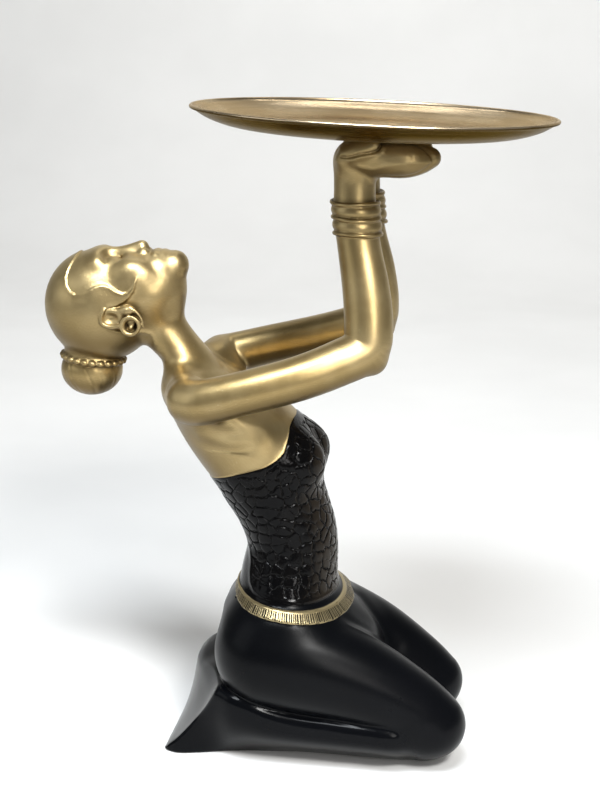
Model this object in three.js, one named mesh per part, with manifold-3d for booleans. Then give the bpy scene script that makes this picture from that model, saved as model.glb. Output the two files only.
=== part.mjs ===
// Kneeling woman holding a round tray on her raised palms.
// Millimetres. +X is the way she faces, +Y her left, +Z up, z = 0 the underside she rests on.
//
// The figure is one cast solid. Its form is a field: limbs are chains of spheres with named
// radii, the trunk and neck are a loft of ovals, the skirt is a pair of tapering thighs over a
// block whose walls follow named widths. Positive outside, negative inside. The field is turned
// into a closed skin, cut flat at the floor and below the tray, and thinned to a faceted solid.
import * as THREE from 'three';
import { mergeVertices } from 'three/addons/utils/BufferGeometryUtils.js';
import Module from 'manifold-3d';

// ---------------------------------------------------------------- driving dimensions
const SHIFT_X = 8.76;           // moves the drawing origin to the middle of the whole object
const GRID = 2.6;               // spacing of the sampling grid
const FIGURE_TRIANGLES = 8000;  // facets left on the figure
const TRAY_SEGMENTS = 44;       // facets round the tray

// tray, measured in its own axis frame, z from the middle of the lip
const TRAY_X = 41.8, TRAY_Z = 443.4;     // middle of the lip circle
const TRAY_TILT = 1.4;                   // degrees, front edge low
const TRAY_R = 118.2;                    // radius of the lip's centre line
const LIP_R = 1.2;                       // radius of the rolled lip
const TRAY_DEPTH = 12.0;                 // lip centre to flat underside
const TRAY_WALL = 1.5;                   // sheet thickness as modelled
const FLOOR_R = 80;                      // radius of the flat bottom
const AIR = 0.3;                         // gap between palms and tray

// head, lying back: the crown points to -X and the face looks up
const SKULL = { c: [-140.5, 0, 310], r: [38.2, 33, 38.2] };
const FACE = { c: [-116, 0, 321], r: [32, 26.5, 27] };
const JAW = [[-118, 0, 316, 23], [-103, 0, 324, 18.5], [-92.5, 0, 336, 10.5]];
const BROW = { c: [-139, 0, 340], r: [8.5, 21, 10] };
const SOCKET = { c: [-129, 12.5, 348.5], r: [7.5, 8.5, 6.5] };
const EYE = { c: [-128.6, 11.8, 337.6], r: [8.4, 8.2, 7.8] };
const NOSE = [[-134, 0, 344, 3.6], [-122, 0, 347.6, 3.9], [-112, 0, 350.4, 4.7]];
const WING = { c: [-109.8, 5, 346.6], r: [3.8, 3.2, 3.8] };
const CHEEK = { c: [-115, 15.5, 334], r: [13, 10, 11] };
const MUZZLE = { c: [-99.5, 0, 339.5], r: [11, 14.5, 9] };
const LIP_UP = { c: [-101.4, 0, 346.8], r: [2.7, 9.2, 2.9] };
const LIP_LOW = { c: [-96.7, 0, 346.3], r: [2.9, 8, 3.1] };
const CHIN = { c: [-88.2, 0, 340.2], r: [7.6, 9, 8.3] };
const EAR = { c: [-122.6, 31.3, 307.2], r: [12, 3.6, 7.8] };
const EARRING = { c: [-113.3, 29.2, 302.8], r: [7, 6.2, 7] };
const BUN = { c: [-148.4, 0, 264.4], r: [21.2, 21, 18.2] };
const BEADS = { c: [-147.4, 0, 273], a: 20.6, b: 20.6, r: 2.5, dip: 0.1 };

// trunk and neck: height, back, front, half width
const TRUNK = [
  [88, -55, 40, 56],
  [98, -54, 38, 57.5],
  [105, -49.5, 34.5, 56.5],
  [113, -44.8, 27.5, 50.5],
  [120, -43, 25.2, 46],
  [129, -41.3, 24.8, 41.5],
  [141, -38.6, 24.8, 37.5],
  [147, -37.6, 24.4, 36.5],
  [153, -39.6, 23.8, 36],
  [165, -45.2, 21.5, 36.5],
  [176, -52.4, 18, 38],
  [189, -60.2, 14, 40.5],
  [204, -71.6, 11, 43],
  [218, -81.3, 8, 44.5],
  [231, -88.6, 1, 45],
  [242, -93, -11, 48],
  [253, -94.5, -31, 50],
  [261, -95, -46, 44],
  [267, -95.5, -55, 30],
  [273, -98, -60.5, 21.5],
  [283, -107.5, -68.5, 18.8],
  [291, -114, -75.5, 18],
  [302, -122, -83, 17.8],
  [313, -126, -85.6, 18],
  [325, -124, -86.6, 18],
];
const BREAST = { c: [-5.5, 16.5, 209], r: [21.5, 18.5, 20] };

// one side's limbs: x, distance from the mid plane, z, radius
const SHOULDER = [[-80, 0, 259.5, 10], [-79, 24, 260.5, 11.5], [-74, 46, 261.5, 13]];
// fold of the chest into the arm, in front of the armpit
const CHEST_FOLD = [[-70, 47, 269, 7.5], [-62.5, 50, 260.5, 8.5], [-55.5, 51.5, 252.5, 8]];
const ARM = [
  [-67.5, 64, 262, 15.2],
  [-57, 69.5, 263.5, 14.8],
  [-30, 70, 271, 14.2],
  [2, 64, 280, 14.4],
  [26, 55, 288.5, 14.8],
  [43, 47, 297, 15.2],
  [45, 43, 311, 15.8],
  [42.3, 38, 334, 15.2],
  [37.2, 32, 358, 14],
  [33.2, 27.5, 380, 13.6],
  [32.4, 26, 398, 13.3],
  [32, 26, 414, 13.4],
];
const ELBOW = { c: [48.5, 46, 289.5], r: [8.8, 9, 8.8] };
const BRACELET = { z: [389, 380, 371], tube: 2.3, swell: 1.6 };
// hand, palm up: x, distance from the mid plane, z, half thickness; FLAT widens it sideways
const HAND = [[33, 26, 415, 12.6], [48, 28, 417.8, 13], [63, 28.5, 417.7, 12.8], [72.5, 28, 417.4, 10], [80, 27.8, 418, 6.6]];
const HAND_FLAT = 0.8;
const THUMB = [[29, 35, 417.5, 8.4], [37, 39, 422.5, 7.6], [44, 40.5, 426, 6]];

// seat, thighs and knees: x, distance from the mid plane, z, radius
const THIGH_NEAR = [[-15.8, 29, 74, 41], [4, 32, 70.4, 38.6], [45, 34, 57.5, 31.4], [80, 35, 41.5, 25.4], [97, 35, 28.5, 23.5]];
const THIGH_FAR = [[-18, 29, 75, 41.2], [4, 32, 71, 38.6], [45, 34, 58, 32], [80, 34, 41.3, 24.4], [96, 34.5, 28.2, 22.4]];
const LAP = { c: [18, 0, 70], r: [40, 44, 33] };

// lower skirt over the calves: x, half width at the floor, swell above, height of the crease
const BLOCK = [
  [-95, 44, -3, 46], [-81, 49.5, -2, 50], [-67, 47.5, 0, 54], [-55, 44.5, 8, 54.5], [-42, 41.5, 18.5, 52.5], [-30, 39.5, 23, 50], [-15, 38, 25, 44.5],
  [4, 36, 26.7, 40.3], [27, 36, 26.7, 38.4], [48, 36.5, 26.2, 36.6], [77, 37, 23.5, 34.6], [98, 33, 11, 30], [112, 25, 3, 22],
];
// back end of the skirt: height, x on her right edge, x on her left
const REAR = [
  [-12, -97, -92],
  [0, -91, -87.5],
  [11, -80.5, -84.5],
  [22, -71, -82],
  [34, -62.5, -80],
  [45, -56.5, -78],
  [51, -53.5, -75],
  [57, -51, -70],
  [63, -49, -62],
  [72, -46, -46],
];
const REAR_FROM = -44, REAR_TO = 26;   // y over which the back end turns from one to the other

// ---------------------------------------------------------------- small helpers
const clamp = (v, a, b) => Math.min(b, Math.max(a, v));
const smin = (a, b, k) => { const h = Math.max(k - Math.abs(a - b), 0) / k; return Math.min(a, b) - h * h * k * 0.25; };
const smax = (a, b, k) => -smin(-a, -b, k);
const rad = (d) => d * Math.PI / 180;

// smooth table: cubic through the rows, sampled finely and read back by straight interpolation
function table(rows, step = 0.5) {
  const t = rows.map((r) => r[0]), n = rows.length, m = rows[0].length - 1;
  const slope = Array.from({ length: m }, (_, c) => t.map((_, i) => {
    const v = (j) => rows[j][c + 1];
    if (i === 0) return (v(1) - v(0)) / (t[1] - t[0]);
    if (i === n - 1) return (v(n - 1) - v(n - 2)) / (t[n - 1] - t[n - 2]);
    const h0 = t[i] - t[i - 1], h1 = t[i + 1] - t[i];
    const s0 = (v(i) - v(i - 1)) / h0, s1 = (v(i + 1) - v(i)) / h1;
    return (s0 * h1 + s1 * h0) / (h0 + h1);
  }));
  const count = Math.ceil((t[n - 1] - t[0]) / step) + 1;
  const cols = Array.from({ length: m }, () => new Float64Array(count));
  for (let k = 0; k < count; k++) {
    const u = Math.min(t[0] + k * step, t[n - 1]);
    let i = 0; while (i < n - 2 && u > t[i + 1]) i++;
    const h = t[i + 1] - t[i], s = (u - t[i]) / h, s2 = s * s, s3 = s2 * s;
    for (let c = 0; c < m; c++) {
      cols[c][k] = rows[i][c + 1] * (2 * s3 - 3 * s2 + 1) + slope[c][i] * h * (s3 - 2 * s2 + s)
        + rows[i + 1][c + 1] * (3 * s2 - 2 * s3) + slope[c][i + 1] * h * (s3 - s2);
    }
  }
  return (c, u) => {
    const f = clamp((u - t[0]) / step, 0, count - 1.0001), i = Math.floor(f), q = f - i;
    return cols[c][i] * (1 - q) + cols[c][i + 1] * q;
  };
}

// chain of spheres along a curve through the given points
function chain(points, parts = 4) {
  const p = [], n = points.length;
  for (let i = 0; i < n - 1; i++) {
    const a = points[Math.max(i - 1, 0)], b = points[i], c = points[i + 1], d = points[Math.min(i + 2, n - 1)];
    for (let k = 0; k < parts; k++) {
      const s = k / parts;
      p.push(b.map((_, j) => 0.5 * (2 * b[j] + (c[j] - a[j]) * s + (2 * a[j] - 5 * b[j] + 4 * c[j] - d[j]) * s * s
        + (3 * b[j] - a[j] - 3 * c[j] + d[j]) * s * s * s)));
    }
  }
  p.push(points[n - 1]);
  const seg = [];
  for (let i = 0; i < p.length - 1; i++) {
    const [ax, ay, az, ar] = p[i], dx = p[i + 1][0] - ax, dy = p[i + 1][1] - ay, dz = p[i + 1][2] - az;
    seg.push([ax, ay, az, ar, dx, dy, dz, p[i + 1][3] - ar, 1 / (dx * dx + dy * dy + dz * dz)]);
  }
  return (x, y, z) => {
    let best = 1e9;
    for (const s of seg) {
      const px = x - s[0], py = y - s[1], pz = z - s[2];
      let t = (px * s[4] + py * s[5] + pz * s[6]) * s[8];
      t = t < 0 ? 0 : t > 1 ? 1 : t;
      const qx = px - s[4] * t, qy = py - s[5] * t, qz = pz - s[6] * t;
      const d = Math.sqrt(qx * qx + qy * qy + qz * qz) - s[3] - s[7] * t;
      if (d < best) best = d;
    }
    return best;
  };
}

const egg = (e) => (x, y, z) => {
  const px = x - e.c[0], py = y - e.c[1], pz = z - e.c[2];
  const ux = px / e.r[0], uy = py / e.r[1], uz = pz / e.r[2], vx = ux / e.r[0], vy = uy / e.r[1], vz = uz / e.r[2];
  const k0 = Math.sqrt(ux * ux + uy * uy + uz * uz), k1 = Math.sqrt(vx * vx + vy * vy + vz * vz);
  return k1 > 1e-9 ? k0 * (k0 - 1) / k1 : -Math.min(...e.r);
};

// ---------------------------------------------------------------- the parts of the field
const trunkAt = table(TRUNK);
function trunk(x, y, z, grow = 0) {
  const back = trunkAt(0, z), front = trunkAt(1, z), b = trunkAt(2, z) + grow;
  const cx = (back + front) / 2, a = (front - back) / 2 + grow;
  const px = (x - cx) / a, py = y / b, k0 = Math.sqrt(px * px + py * py), k1 = Math.sqrt(px * px / (a * a) + py * py / (b * b));
  return k1 > 1e-9 ? k0 * (k0 - 1) / k1 : -Math.min(a, b);
}

const skull = egg(SKULL), faceEgg = egg(FACE), jaw = chain(JAW), brow = egg(BROW), nose = chain(NOSE);
const cheek = egg(CHEEK), muzzle = egg(MUZZLE), lipUp = egg(LIP_UP), lipLow = egg(LIP_LOW), wing = egg(WING), socket = egg(SOCKET), eye = egg(EYE), chin = egg(CHIN), ear = egg(EAR), earring = egg(EARRING), bun = egg(BUN);
function head(x, y, z) {
  const ay = Math.abs(y);
  let d = smin(skull(x, y, z), faceEgg(x, y, z), 8);
  d = smin(d, jaw(x, y, z), 7);
  d = smin(d, brow(x, y, z), 6);
  d = smin(d, cheek(x, ay, z), 7);
  d = smin(d, muzzle(x, y, z), 5);
  d = smin(d, chin(x, y, z), 5);
  d = smax(d, -socket(x, ay, z), 4);
  d = smin(d, eye(x, ay, z), 1.5);
  d = smin(d, nose(x, y, z), 4.5);
  d = smin(d, wing(x, ay, z), 2);
  d = smin(d, Math.min(lipUp(x, y, z), lipLow(x, y, z)), 1.5);
  d = smin(d, Math.min(ear(x, ay, z), earring(x, ay, z)), 1.5);
  d = smin(d, bun(x, y, z), 2.5);
  // bead ring where the bun leaves the head
  const rx = x - BEADS.c[0], q = Math.hypot(rx, y), zz = z - (BEADS.c[2] - BEADS.dip * rx);
  d = smin(d, Math.max(q - BEADS.a, Math.abs(zz) - 2), 1.5);     // solid inside the ring
  return smin(d, Math.hypot(q - BEADS.a, zz) - BEADS.r, 1.5);
}

const breast = egg(BREAST), shoulder = chain(SHOULDER), chestFold = chain(CHEST_FOLD), arm = chain(ARM), hand = chain(HAND.map(([x, y, z, r]) => [x, y * HAND_FLAT, z, r])), thumb = chain(THUMB), elbow = egg(ELBOW);
function upper(x, y, z) {
  const ay = Math.abs(y);
  let d = smax(trunk(x, y, z), Math.abs(z - 205) - 118, 10);
  d = smin(d, smin(breast(x, y, z), breast(x, -y, z), 4), 9);
  d = smin(d, shoulder(x, ay, z), 16);
  d = smin(d, chestFold(x, ay, z), 7);
  let a = arm(x, ay, z);
  a = smin(a, elbow(x, ay, z), 5);
  a = smin(a, smin(hand(x + (y > 0 ? 0.16 * Math.max(x - 42, 0) : 0), ay * HAND_FLAT, z), thumb(x, ay, z), 2), 5);
  return smin(d, a, 6 + 6 * clamp((x + 40) / 20, 0, 1));
}

function bracelets(x, y, z) {
  const ay = Math.abs(y), cx = 34.2 + (z - 380) * -0.11, cy = 27.5 + (z - 380) * -0.1, q = Math.hypot(x - cx, ay - cy);
  let d = 1e9;
  for (const h of BRACELET.z) d = smin(d, Math.hypot(q - 13.9, (z - h) * 0.9) - BRACELET.tube, 1.5);
  return smin(d, smax(q - 13.9 - BRACELET.swell, Math.abs(z - BRACELET.z[1]) - 9, 2), 1);
}

const thighNear = chain(THIGH_NEAR), thighFar = chain(THIGH_FAR), lap = egg(LAP);
const blockAt = table(BLOCK), rearAt = table(REAR);
function block(x, y, z) {
  const top = blockAt(2, x), lift = clamp(z / (0.72 * top), 0, 1);
  const wall = blockAt(0, x) + blockAt(1, x) * Math.sin(lift * Math.PI / 2);
  let s = clamp((y - REAR_FROM) / (REAR_TO - REAR_FROM), 0, 1); s = s * s * (3 - 2 * s) * 0.5 + s * 0.5;
  const back = rearAt(0, z) * (1 - s) + rearAt(1, z) * s;
  const side = Math.abs(y) - wall;
  let d = smax(side, z - top, 9.5);
  const turn = clamp((y + 22) / 30, 0, 1);
  d = smax(d, (back - x) * 0.85, 3 + 11 * turn * turn * (3 - 2 * turn));
  return smax(smax(d, x - 106, 26), -9 - z, 2);
}

function lower(x, y, z) {
  const t = smin(thighNear(x, -y, z), thighFar(x, y, z), 16);
  let d = smin(t, lap(x, y, z), 12);
  const s = clamp((x - 70) / 26, 0, 1);                           // the crease dies out towards the knee
  return smin(d, block(x, y, z), 2.4 + 14 * s * s * (3 - 2 * s));
}

// raised band round the hips, flat topped, between two heights
const BELT = { low: 106.8, high: 113.6, rise: 1.7, edge: 1.1, tip: 0.1 };
function belt(x, z) {
  const h = z + BELT.tip * x, up = clamp((h - BELT.low) / BELT.edge, 0, 1), down = clamp((BELT.high - h) / BELT.edge, 0, 1);
  return BELT.rise * Math.min(up, down);
}

function figure(x, y, z) {
  let d = z > 150 ? upper(x, y, z) : smin(upper(x, y, z), lower(x, y, z), 9);
  if (z < 124 && z > 96) d -= belt(x, z);
  if (z > 250) {
    d = smin(d, head(x, y, z), 9);
    d = smin(d, bracelets(x, y, z), 1.5);
  } else if (z > 225) {
    d = smin(d, head(x, y, z), 9);
  }
  return d;
}

// ---------------------------------------------------------------- field to closed skin
function skin(f, box, h) {
  const [x0, y0, z0] = box.min, n = box.max.map((v, i) => Math.ceil((v - box.min[i]) / h) + 1);
  const [nx, ny, nz] = n, id = (i, j, k) => (k * ny + j) * nx + i, val = new Float32Array(nx * ny * nz).fill(1e3);
  const B = 5, reach = B * h * 0.5 * Math.sqrt(3) * 1.7 + h;
  for (let k = 0; k < nz; k += B) for (let j = 0; j < ny; j += B) for (let i = 0; i < nx; i += B) {
    const c = f(x0 + (i + B / 2) * h, y0 + (j + B / 2) * h, z0 + (k + B / 2) * h);
    const near = Math.abs(c) < reach;
    for (let kk = k; kk < Math.min(k + B, nz); kk++) for (let jj = j; jj < Math.min(j + B, ny); jj++) for (let ii = i; ii < Math.min(i + B, nx); ii++) {
      val[id(ii, jj, kk)] = near ? f(x0 + ii * h, y0 + jj * h, z0 + kk * h) : c;
    }
  }
  const vert = [], cell = new Map();
  const corner = [[0, 0, 0], [1, 0, 0], [0, 1, 0], [1, 1, 0], [0, 0, 1], [1, 0, 1], [0, 1, 1], [1, 1, 1]];
  const edges = [[0, 1], [2, 3], [4, 5], [6, 7], [0, 2], [1, 3], [4, 6], [5, 7], [0, 4], [1, 5], [2, 6], [3, 7]];
  for (let k = 0; k < nz - 1; k++) for (let j = 0; j < ny - 1; j++) for (let i = 0; i < nx - 1; i++) {
    const v = corner.map((c) => val[id(i + c[0], j + c[1], k + c[2])]);
    let inside = 0; for (const q of v) if (q < 0) inside++;
    if (inside === 0 || inside === 8) continue;
    let sx = 0, sy = 0, sz = 0, m = 0;
    for (const [a, b] of edges) {
      if ((v[a] < 0) === (v[b] < 0)) continue;
      const t = v[a] / (v[a] - v[b]);
      sx += corner[a][0] + (corner[b][0] - corner[a][0]) * t; sy += corner[a][1] + (corner[b][1] - corner[a][1]) * t;
      sz += corner[a][2] + (corner[b][2] - corner[a][2]) * t; m++;
    }
    let p = [x0 + (i + sx / m) * h, y0 + (j + sy / m) * h, z0 + (k + sz / m) * h];
    const lo = [x0 + i * h, y0 + j * h, z0 + k * h], e = 0.2;
    for (let it = 0; it < 3; it++) {     // slide onto the surface without leaving the cell
      const d = f(...p), g = [0, 1, 2].map((a) => { const q = [...p]; q[a] += e; const r = [...p]; r[a] -= e; return (f(...q) - f(...r)) / (2 * e); });
      const gg = g[0] ** 2 + g[1] ** 2 + g[2] ** 2; if (gg < 1e-6) break;
      p = p.map((c, a) => clamp(c - d * g[a] / gg, lo[a] + 0.02 * h, lo[a] + 0.98 * h));
    }
    cell.set(id(i, j, k), vert.length); vert.push(p);
  }
  const tri = [];
  const quad = (a, b, c, d) => {
    const [A, Bv, C, D] = [a, b, c, d].map((q) => vert[q]);
    const ac = Math.hypot(A[0] - C[0], A[1] - C[1], A[2] - C[2]), bd = Math.hypot(Bv[0] - D[0], Bv[1] - D[1], Bv[2] - D[2]);
    if (ac < bd) tri.push([a, b, c], [a, c, d]); else tri.push([a, b, d], [b, c, d]);
  };
  for (let k = 1; k < nz - 1; k++) for (let j = 1; j < ny - 1; j++) for (let i = 1; i < nx - 1; i++) {
    const s = val[id(i, j, k)] < 0;
    const pairs = [[[1, 0, 0], [[0, -1, -1], [0, 0, -1], [0, 0, 0], [0, -1, 0]]],
      [[0, 1, 0], [[-1, 0, -1], [-1, 0, 0], [0, 0, 0], [0, 0, -1]]],
      [[0, 0, 1], [[-1, -1, 0], [0, -1, 0], [0, 0, 0], [-1, 0, 0]]]];
    for (const [d, ring] of pairs) {
      const t = val[id(i + d[0], j + d[1], k + d[2])] < 0;
      if (s === t) continue;
      const q = ring.map((o) => cell.get(id(i + o[0], j + o[1], k + o[2])));
      if (s) quad(q[0], q[1], q[2], q[3]); else quad(q[3], q[2], q[1], q[0]);
    }
  }
  return { vert, tri };
}

function geometryOf({ vert, tri }) {
  const g = new THREE.BufferGeometry();
  g.setAttribute('position', new THREE.Float32BufferAttribute(vert.flat(), 3));
  g.setIndex(tri.flat());
  return g;
}

// ---------------------------------------------------------------- thinning by edge collapse
// Each corner keeps the planes of the facets it came from; the cheapest edge goes first.
function thin({ vert, tri }, target, keepFlat) {
  const P = vert.map((v) => [...v]), T = tri.map((t) => [...t]), alive = new Uint8Array(T.length).fill(1);
  const of = P.map(() => new Set()); T.forEach((t, i) => t.forEach((v) => of[v].add(i)));
  const Q = P.map(() => new Float64Array(10));
  const flat = P.map((p) => keepFlat(p));
  const addPlane = (q, n, d, w) => {
    const [a, b, c] = n;
    q[0] += w * a * a; q[1] += w * a * b; q[2] += w * a * c; q[3] += w * a * d; q[4] += w * b * b;
    q[5] += w * b * c; q[6] += w * b * d; q[7] += w * c * c; q[8] += w * c * d; q[9] += w * d * d;
  };
  const normal = (a, b, c) => {
    const u = [b[0] - a[0], b[1] - a[1], b[2] - a[2]], v = [c[0] - a[0], c[1] - a[1], c[2] - a[2]];
    return [u[1] * v[2] - u[2] * v[1], u[2] * v[0] - u[0] * v[2], u[0] * v[1] - u[1] * v[0]];
  };
  for (const t of T) {
    const n = normal(P[t[0]], P[t[1]], P[t[2]]), l = Math.hypot(...n); if (l < 1e-9) continue;
    const m = n.map((c) => c / l), d = -(m[0] * P[t[0]][0] + m[1] * P[t[0]][1] + m[2] * P[t[0]][2]);
    for (const v of t) addPlane(Q[v], m, d, l * 0.5 + 0.05);
  }
  const cost = (q, p) => q[0] * p[0] * p[0] + 2 * q[1] * p[0] * p[1] + 2 * q[2] * p[0] * p[2] + 2 * q[3] * p[0] + q[4] * p[1] * p[1]
    + 2 * q[5] * p[1] * p[2] + 2 * q[6] * p[1] + q[7] * p[2] * p[2] + 2 * q[8] * p[2] + q[9];
  const stamp = new Int32Array(P.length);
  const heap = [];
  const push = (e) => { let i = heap.push(e) - 1; while (i > 0) { const p = (i - 1) >> 1; if (heap[p].c <= heap[i].c) break; [heap[p], heap[i]] = [heap[i], heap[p]]; i = p; } };
  const pop = () => {
    const top = heap[0], last = heap.pop();
    if (heap.length) {
      heap[0] = last; let i = 0;
      for (;;) {
        let l = 2 * i + 1, r = l + 1, m = i;
        if (l < heap.length && heap[l].c < heap[m].c) m = l;
        if (r < heap.length && heap[r].c < heap[m].c) m = r;
        if (m === i) break; [heap[m], heap[i]] = [heap[i], heap[m]]; i = m;
      }
    }
    return top;
  };
  const plan = (a, b) => {
    if ((flat[a] & flat[b]) !== flat[a] && (flat[a] & flat[b]) !== flat[b]) return;
    const q = Q[a].map((v, i) => v + Q[b][i]);
    const mid = [0, 1, 2].map((i) => (P[a][i] + P[b][i]) / 2), options = [];
    if (flat[a] !== flat[b]) options.push(flat[a] > flat[b] ? P[a] : P[b]);
    else {
      options.push(P[a], P[b], mid);
      if (!flat[a]) {
        const w = 1e-4 * (q[0] + q[4] + q[7]) + 1e-9;
        const m = [[q[0] + w, q[1], q[2]], [q[1], q[4] + w, q[5]], [q[2], q[5], q[7] + w]];
        const r = [-q[3] + w * mid[0], -q[6] + w * mid[1], -q[8] + w * mid[2]];
        const det = (A) => A[0][0] * (A[1][1] * A[2][2] - A[1][2] * A[2][1]) - A[0][1] * (A[1][0] * A[2][2] - A[1][2] * A[2][0]) + A[0][2] * (A[1][0] * A[2][1] - A[1][1] * A[2][0]);
        const D = det(m);
        if (Math.abs(D) > 1e-12) {
          const s = [0, 1, 2].map((c) => det(m.map((row, i) => row.map((v, j) => (j === c ? r[i] : v)))) / D);
          if (Math.hypot(s[0] - mid[0], s[1] - mid[1], s[2] - mid[2]) < 12) options.push(s);
        }
      }
    }
    let best = null, c = Infinity;
    for (const o of options) { const k = cost(q, o); if (k < c) { c = k; best = o; } }
    const len2 = (P[a][0] - P[b][0]) ** 2 + (P[a][1] - P[b][1]) ** 2 + (P[a][2] - P[b][2]) ** 2;
    push({ c: Math.max(c, 0) + 1e-5 * len2, a, b, p: [...best], sa: stamp[a], sb: stamp[b] });
  };
  const ring = (v) => { const s = new Set(); for (const t of of[v]) for (const u of T[t]) if (u !== v) s.add(u); return s; };
  for (let i = 0; i < T.length; i++) for (let e = 0; e < 3; e++) { const a = T[i][e], b = T[i][(e + 1) % 3]; if (a < b) plan(a, b); }
  let count = T.length;
  while (count > target && heap.length) {
    const e = pop();
    if (e.sa !== stamp[e.a] || e.sb !== stamp[e.b]) continue;
    const { a, b, p } = e, ra = ring(a), rb = ring(b);
    if (!ra.has(b)) continue;
    let shared = 0; for (const v of ra) if (rb.has(v)) shared++;
    if (shared !== 2) continue;
    let ok = true;
    for (const [v, w] of [[a, b], [b, a]]) for (const t of of[v]) {
      if (!ok) break; if (T[t].includes(w)) continue;
      const before = T[t].map((u) => P[u]), after = T[t].map((u) => (u === v ? p : P[u]));
      const n0 = normal(...before), n1 = normal(...after), l0 = Math.hypot(...n0), l1 = Math.hypot(...n1);
      if (l1 < 1e-4 || (n0[0] * n1[0] + n0[1] * n1[1] + n0[2] * n1[2]) < 0.35 * l0 * l1) { ok = false; break; }
      const longest = Math.max(...[0, 1, 2].map((i) => Math.hypot(...[0, 1, 2].map((k) => after[i][k] - after[(i + 1) % 3][k]))));
      if (l1 / (longest * longest) < 0.05) {
        const was = Math.max(...[0, 1, 2].map((i) => Math.hypot(...[0, 1, 2].map((k) => before[i][k] - before[(i + 1) % 3][k]))));
        if (l1 / (longest * longest) < l0 / (was * was)) ok = false;
      }
    }
    if (!ok) continue;
    for (const t of [...of[b]]) {
      if (T[t].includes(a)) { alive[t] = 0; count--; for (const u of T[t]) of[u].delete(t); } else { T[t] = T[t].map((u) => (u === b ? a : u)); of[a].add(t); }
    }
    of[b].clear(); P[a] = p; flat[a] |= flat[b];
    for (let i = 0; i < 10; i++) Q[a][i] += Q[b][i];
    stamp[a]++; stamp[b]++;
    for (const v of ring(a)) plan(a, v);
  }
  const map = new Map(), nv = [], nt = [];
  for (let i = 0; i < T.length; i++) if (alive[i]) nt.push(T[i].map((v) => { if (!map.has(v)) { map.set(v, nv.length); nv.push(P[v]); } return map.get(v); }));
  return { vert: nv, tri: nt };
}

// ---------------------------------------------------------------- cutting
const wasm = await Module(); wasm.setup();
function solid(g) {
  let m = g.clone(); for (const k of Object.keys(m.attributes)) if (k !== 'position') m.deleteAttribute(k);
  m = mergeVertices(m, 1e-4);
  const s = new wasm.Manifold(new wasm.Mesh({ numProp: 3, vertProperties: new Float32Array(m.attributes.position.array), triVerts: new Uint32Array(m.index.array) }));
  return s;
}
// the outer skin alone, without specks of closed-in air left by the sampling
function outerShell({ vert, tri }) {
  const parent = vert.map((_, i) => i);
  const root = (i) => { while (parent[i] !== i) { parent[i] = parent[parent[i]]; i = parent[i]; } return i; };
  for (const t of tri) { const a = root(t[0]); parent[root(t[1])] = a; parent[root(t[2])] = a; }
  const size = new Map(); for (const t of tri) { const r = root(t[0]); size.set(r, (size.get(r) || 0) + 1); }
  const best = [...size].sort((a, b) => b[1] - a[1])[0][0], map = new Map(), nv = [];
  const nt = tri.filter((t) => root(t[0]) === best).map((t) => t.map((v) => { if (!map.has(v)) { map.set(v, nv.length); nv.push(vert[v]); } return map.get(v); }));
  return { vert: nv, tri: nt };
}
function lists(s) {
  const m = s.getMesh(), vert = [], tri = [];
  for (let i = 0; i < m.vertProperties.length; i += m.numProp) vert.push([m.vertProperties[i], m.vertProperties[i + 1], m.vertProperties[i + 2]]);
  for (let i = 0; i < m.triVerts.length; i += 3) tri.push([m.triVerts[i], m.triVerts[i + 1], m.triVerts[i + 2]]);
  return { vert, tri };
}

// tray frame: the lip plane leans forward by TRAY_TILT about its own middle
const tilt = rad(TRAY_TILT);
const trayMatrix = new THREE.Matrix4().makeRotationY(tilt).setPosition(TRAY_X, 0, TRAY_Z);

function buildFigure() {
  const raw = skin(figure, { min: [-190, -96, -14], max: [132, 96, 442] }, GRID);
  let body = solid(geometryOf(outerShell(raw)));
  const floor = new THREE.BoxGeometry(500, 500, 60).translate(0, 0, -30);
  const above = new THREE.BoxGeometry(400, 400, 60).translate(0, 0, 30 - TRAY_DEPTH - AIR).applyMatrix4(trayMatrix);
  body = body.subtract(solid(floor)).subtract(solid(above));
  const cut = lists(body);
  const up = new THREE.Vector3(0, 0, 1).transformDirection(trayMatrix), at = new THREE.Vector3(0, 0, -TRAY_DEPTH - AIR).applyMatrix4(trayMatrix);
  return thin(cut, FIGURE_TRIANGLES, (p) => (Math.abs(p[2]) < 1e-3 ? 1 : 0)
    | (Math.abs((p[0] - at.x) * up.x + (p[1] - at.y) * up.y + (p[2] - at.z) * up.z) < 1e-3 ? 2 : 0));
}

// tray: one sheet turned about its axis, with a rolled lip
function buildTray() {
  const p = [], bottom = -TRAY_DEPTH, top = bottom + TRAY_WALL;
  const wall = [[0, 0], [0.2, 0.035], [0.4, 0.13], [0.6, 0.3], [0.8, 0.56], [0.93, 0.81], [1, 0.96]];
  const rOut = TRAY_R - 0.4;
  p.push([0, bottom], [FLOOR_R * 0.5, bottom]);
  for (const [u, v] of wall) p.push([FLOOR_R + (rOut - FLOOR_R) * u, bottom + v * (TRAY_DEPTH - 0.4)]);
  for (const a of [-50, -10, 30, 75, 120, 165]) p.push([TRAY_R + LIP_R * Math.cos(rad(a)), LIP_R * Math.sin(rad(a))]);
  for (const [u, v] of [...wall].reverse().slice(1)) p.push([FLOOR_R - 0.6 + (rOut - 1.4 - FLOOR_R) * u, top + v * (TRAY_DEPTH - 0.4 - TRAY_WALL * 0.6)]);
  p.push([FLOOR_R * 0.5, top], [0, top]);
  const g = new THREE.LatheGeometry(p.map(([r, z]) => new THREE.Vector2(r, z)), TRAY_SEGMENTS);
  g.rotateX(Math.PI / 2);
  g.applyMatrix4(trayMatrix);
  return lists(solid(mergeVertices((() => { const c = g.clone(); c.deleteAttribute('normal'); c.deleteAttribute('uv'); return c; })(), 1e-3)));
}

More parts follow.
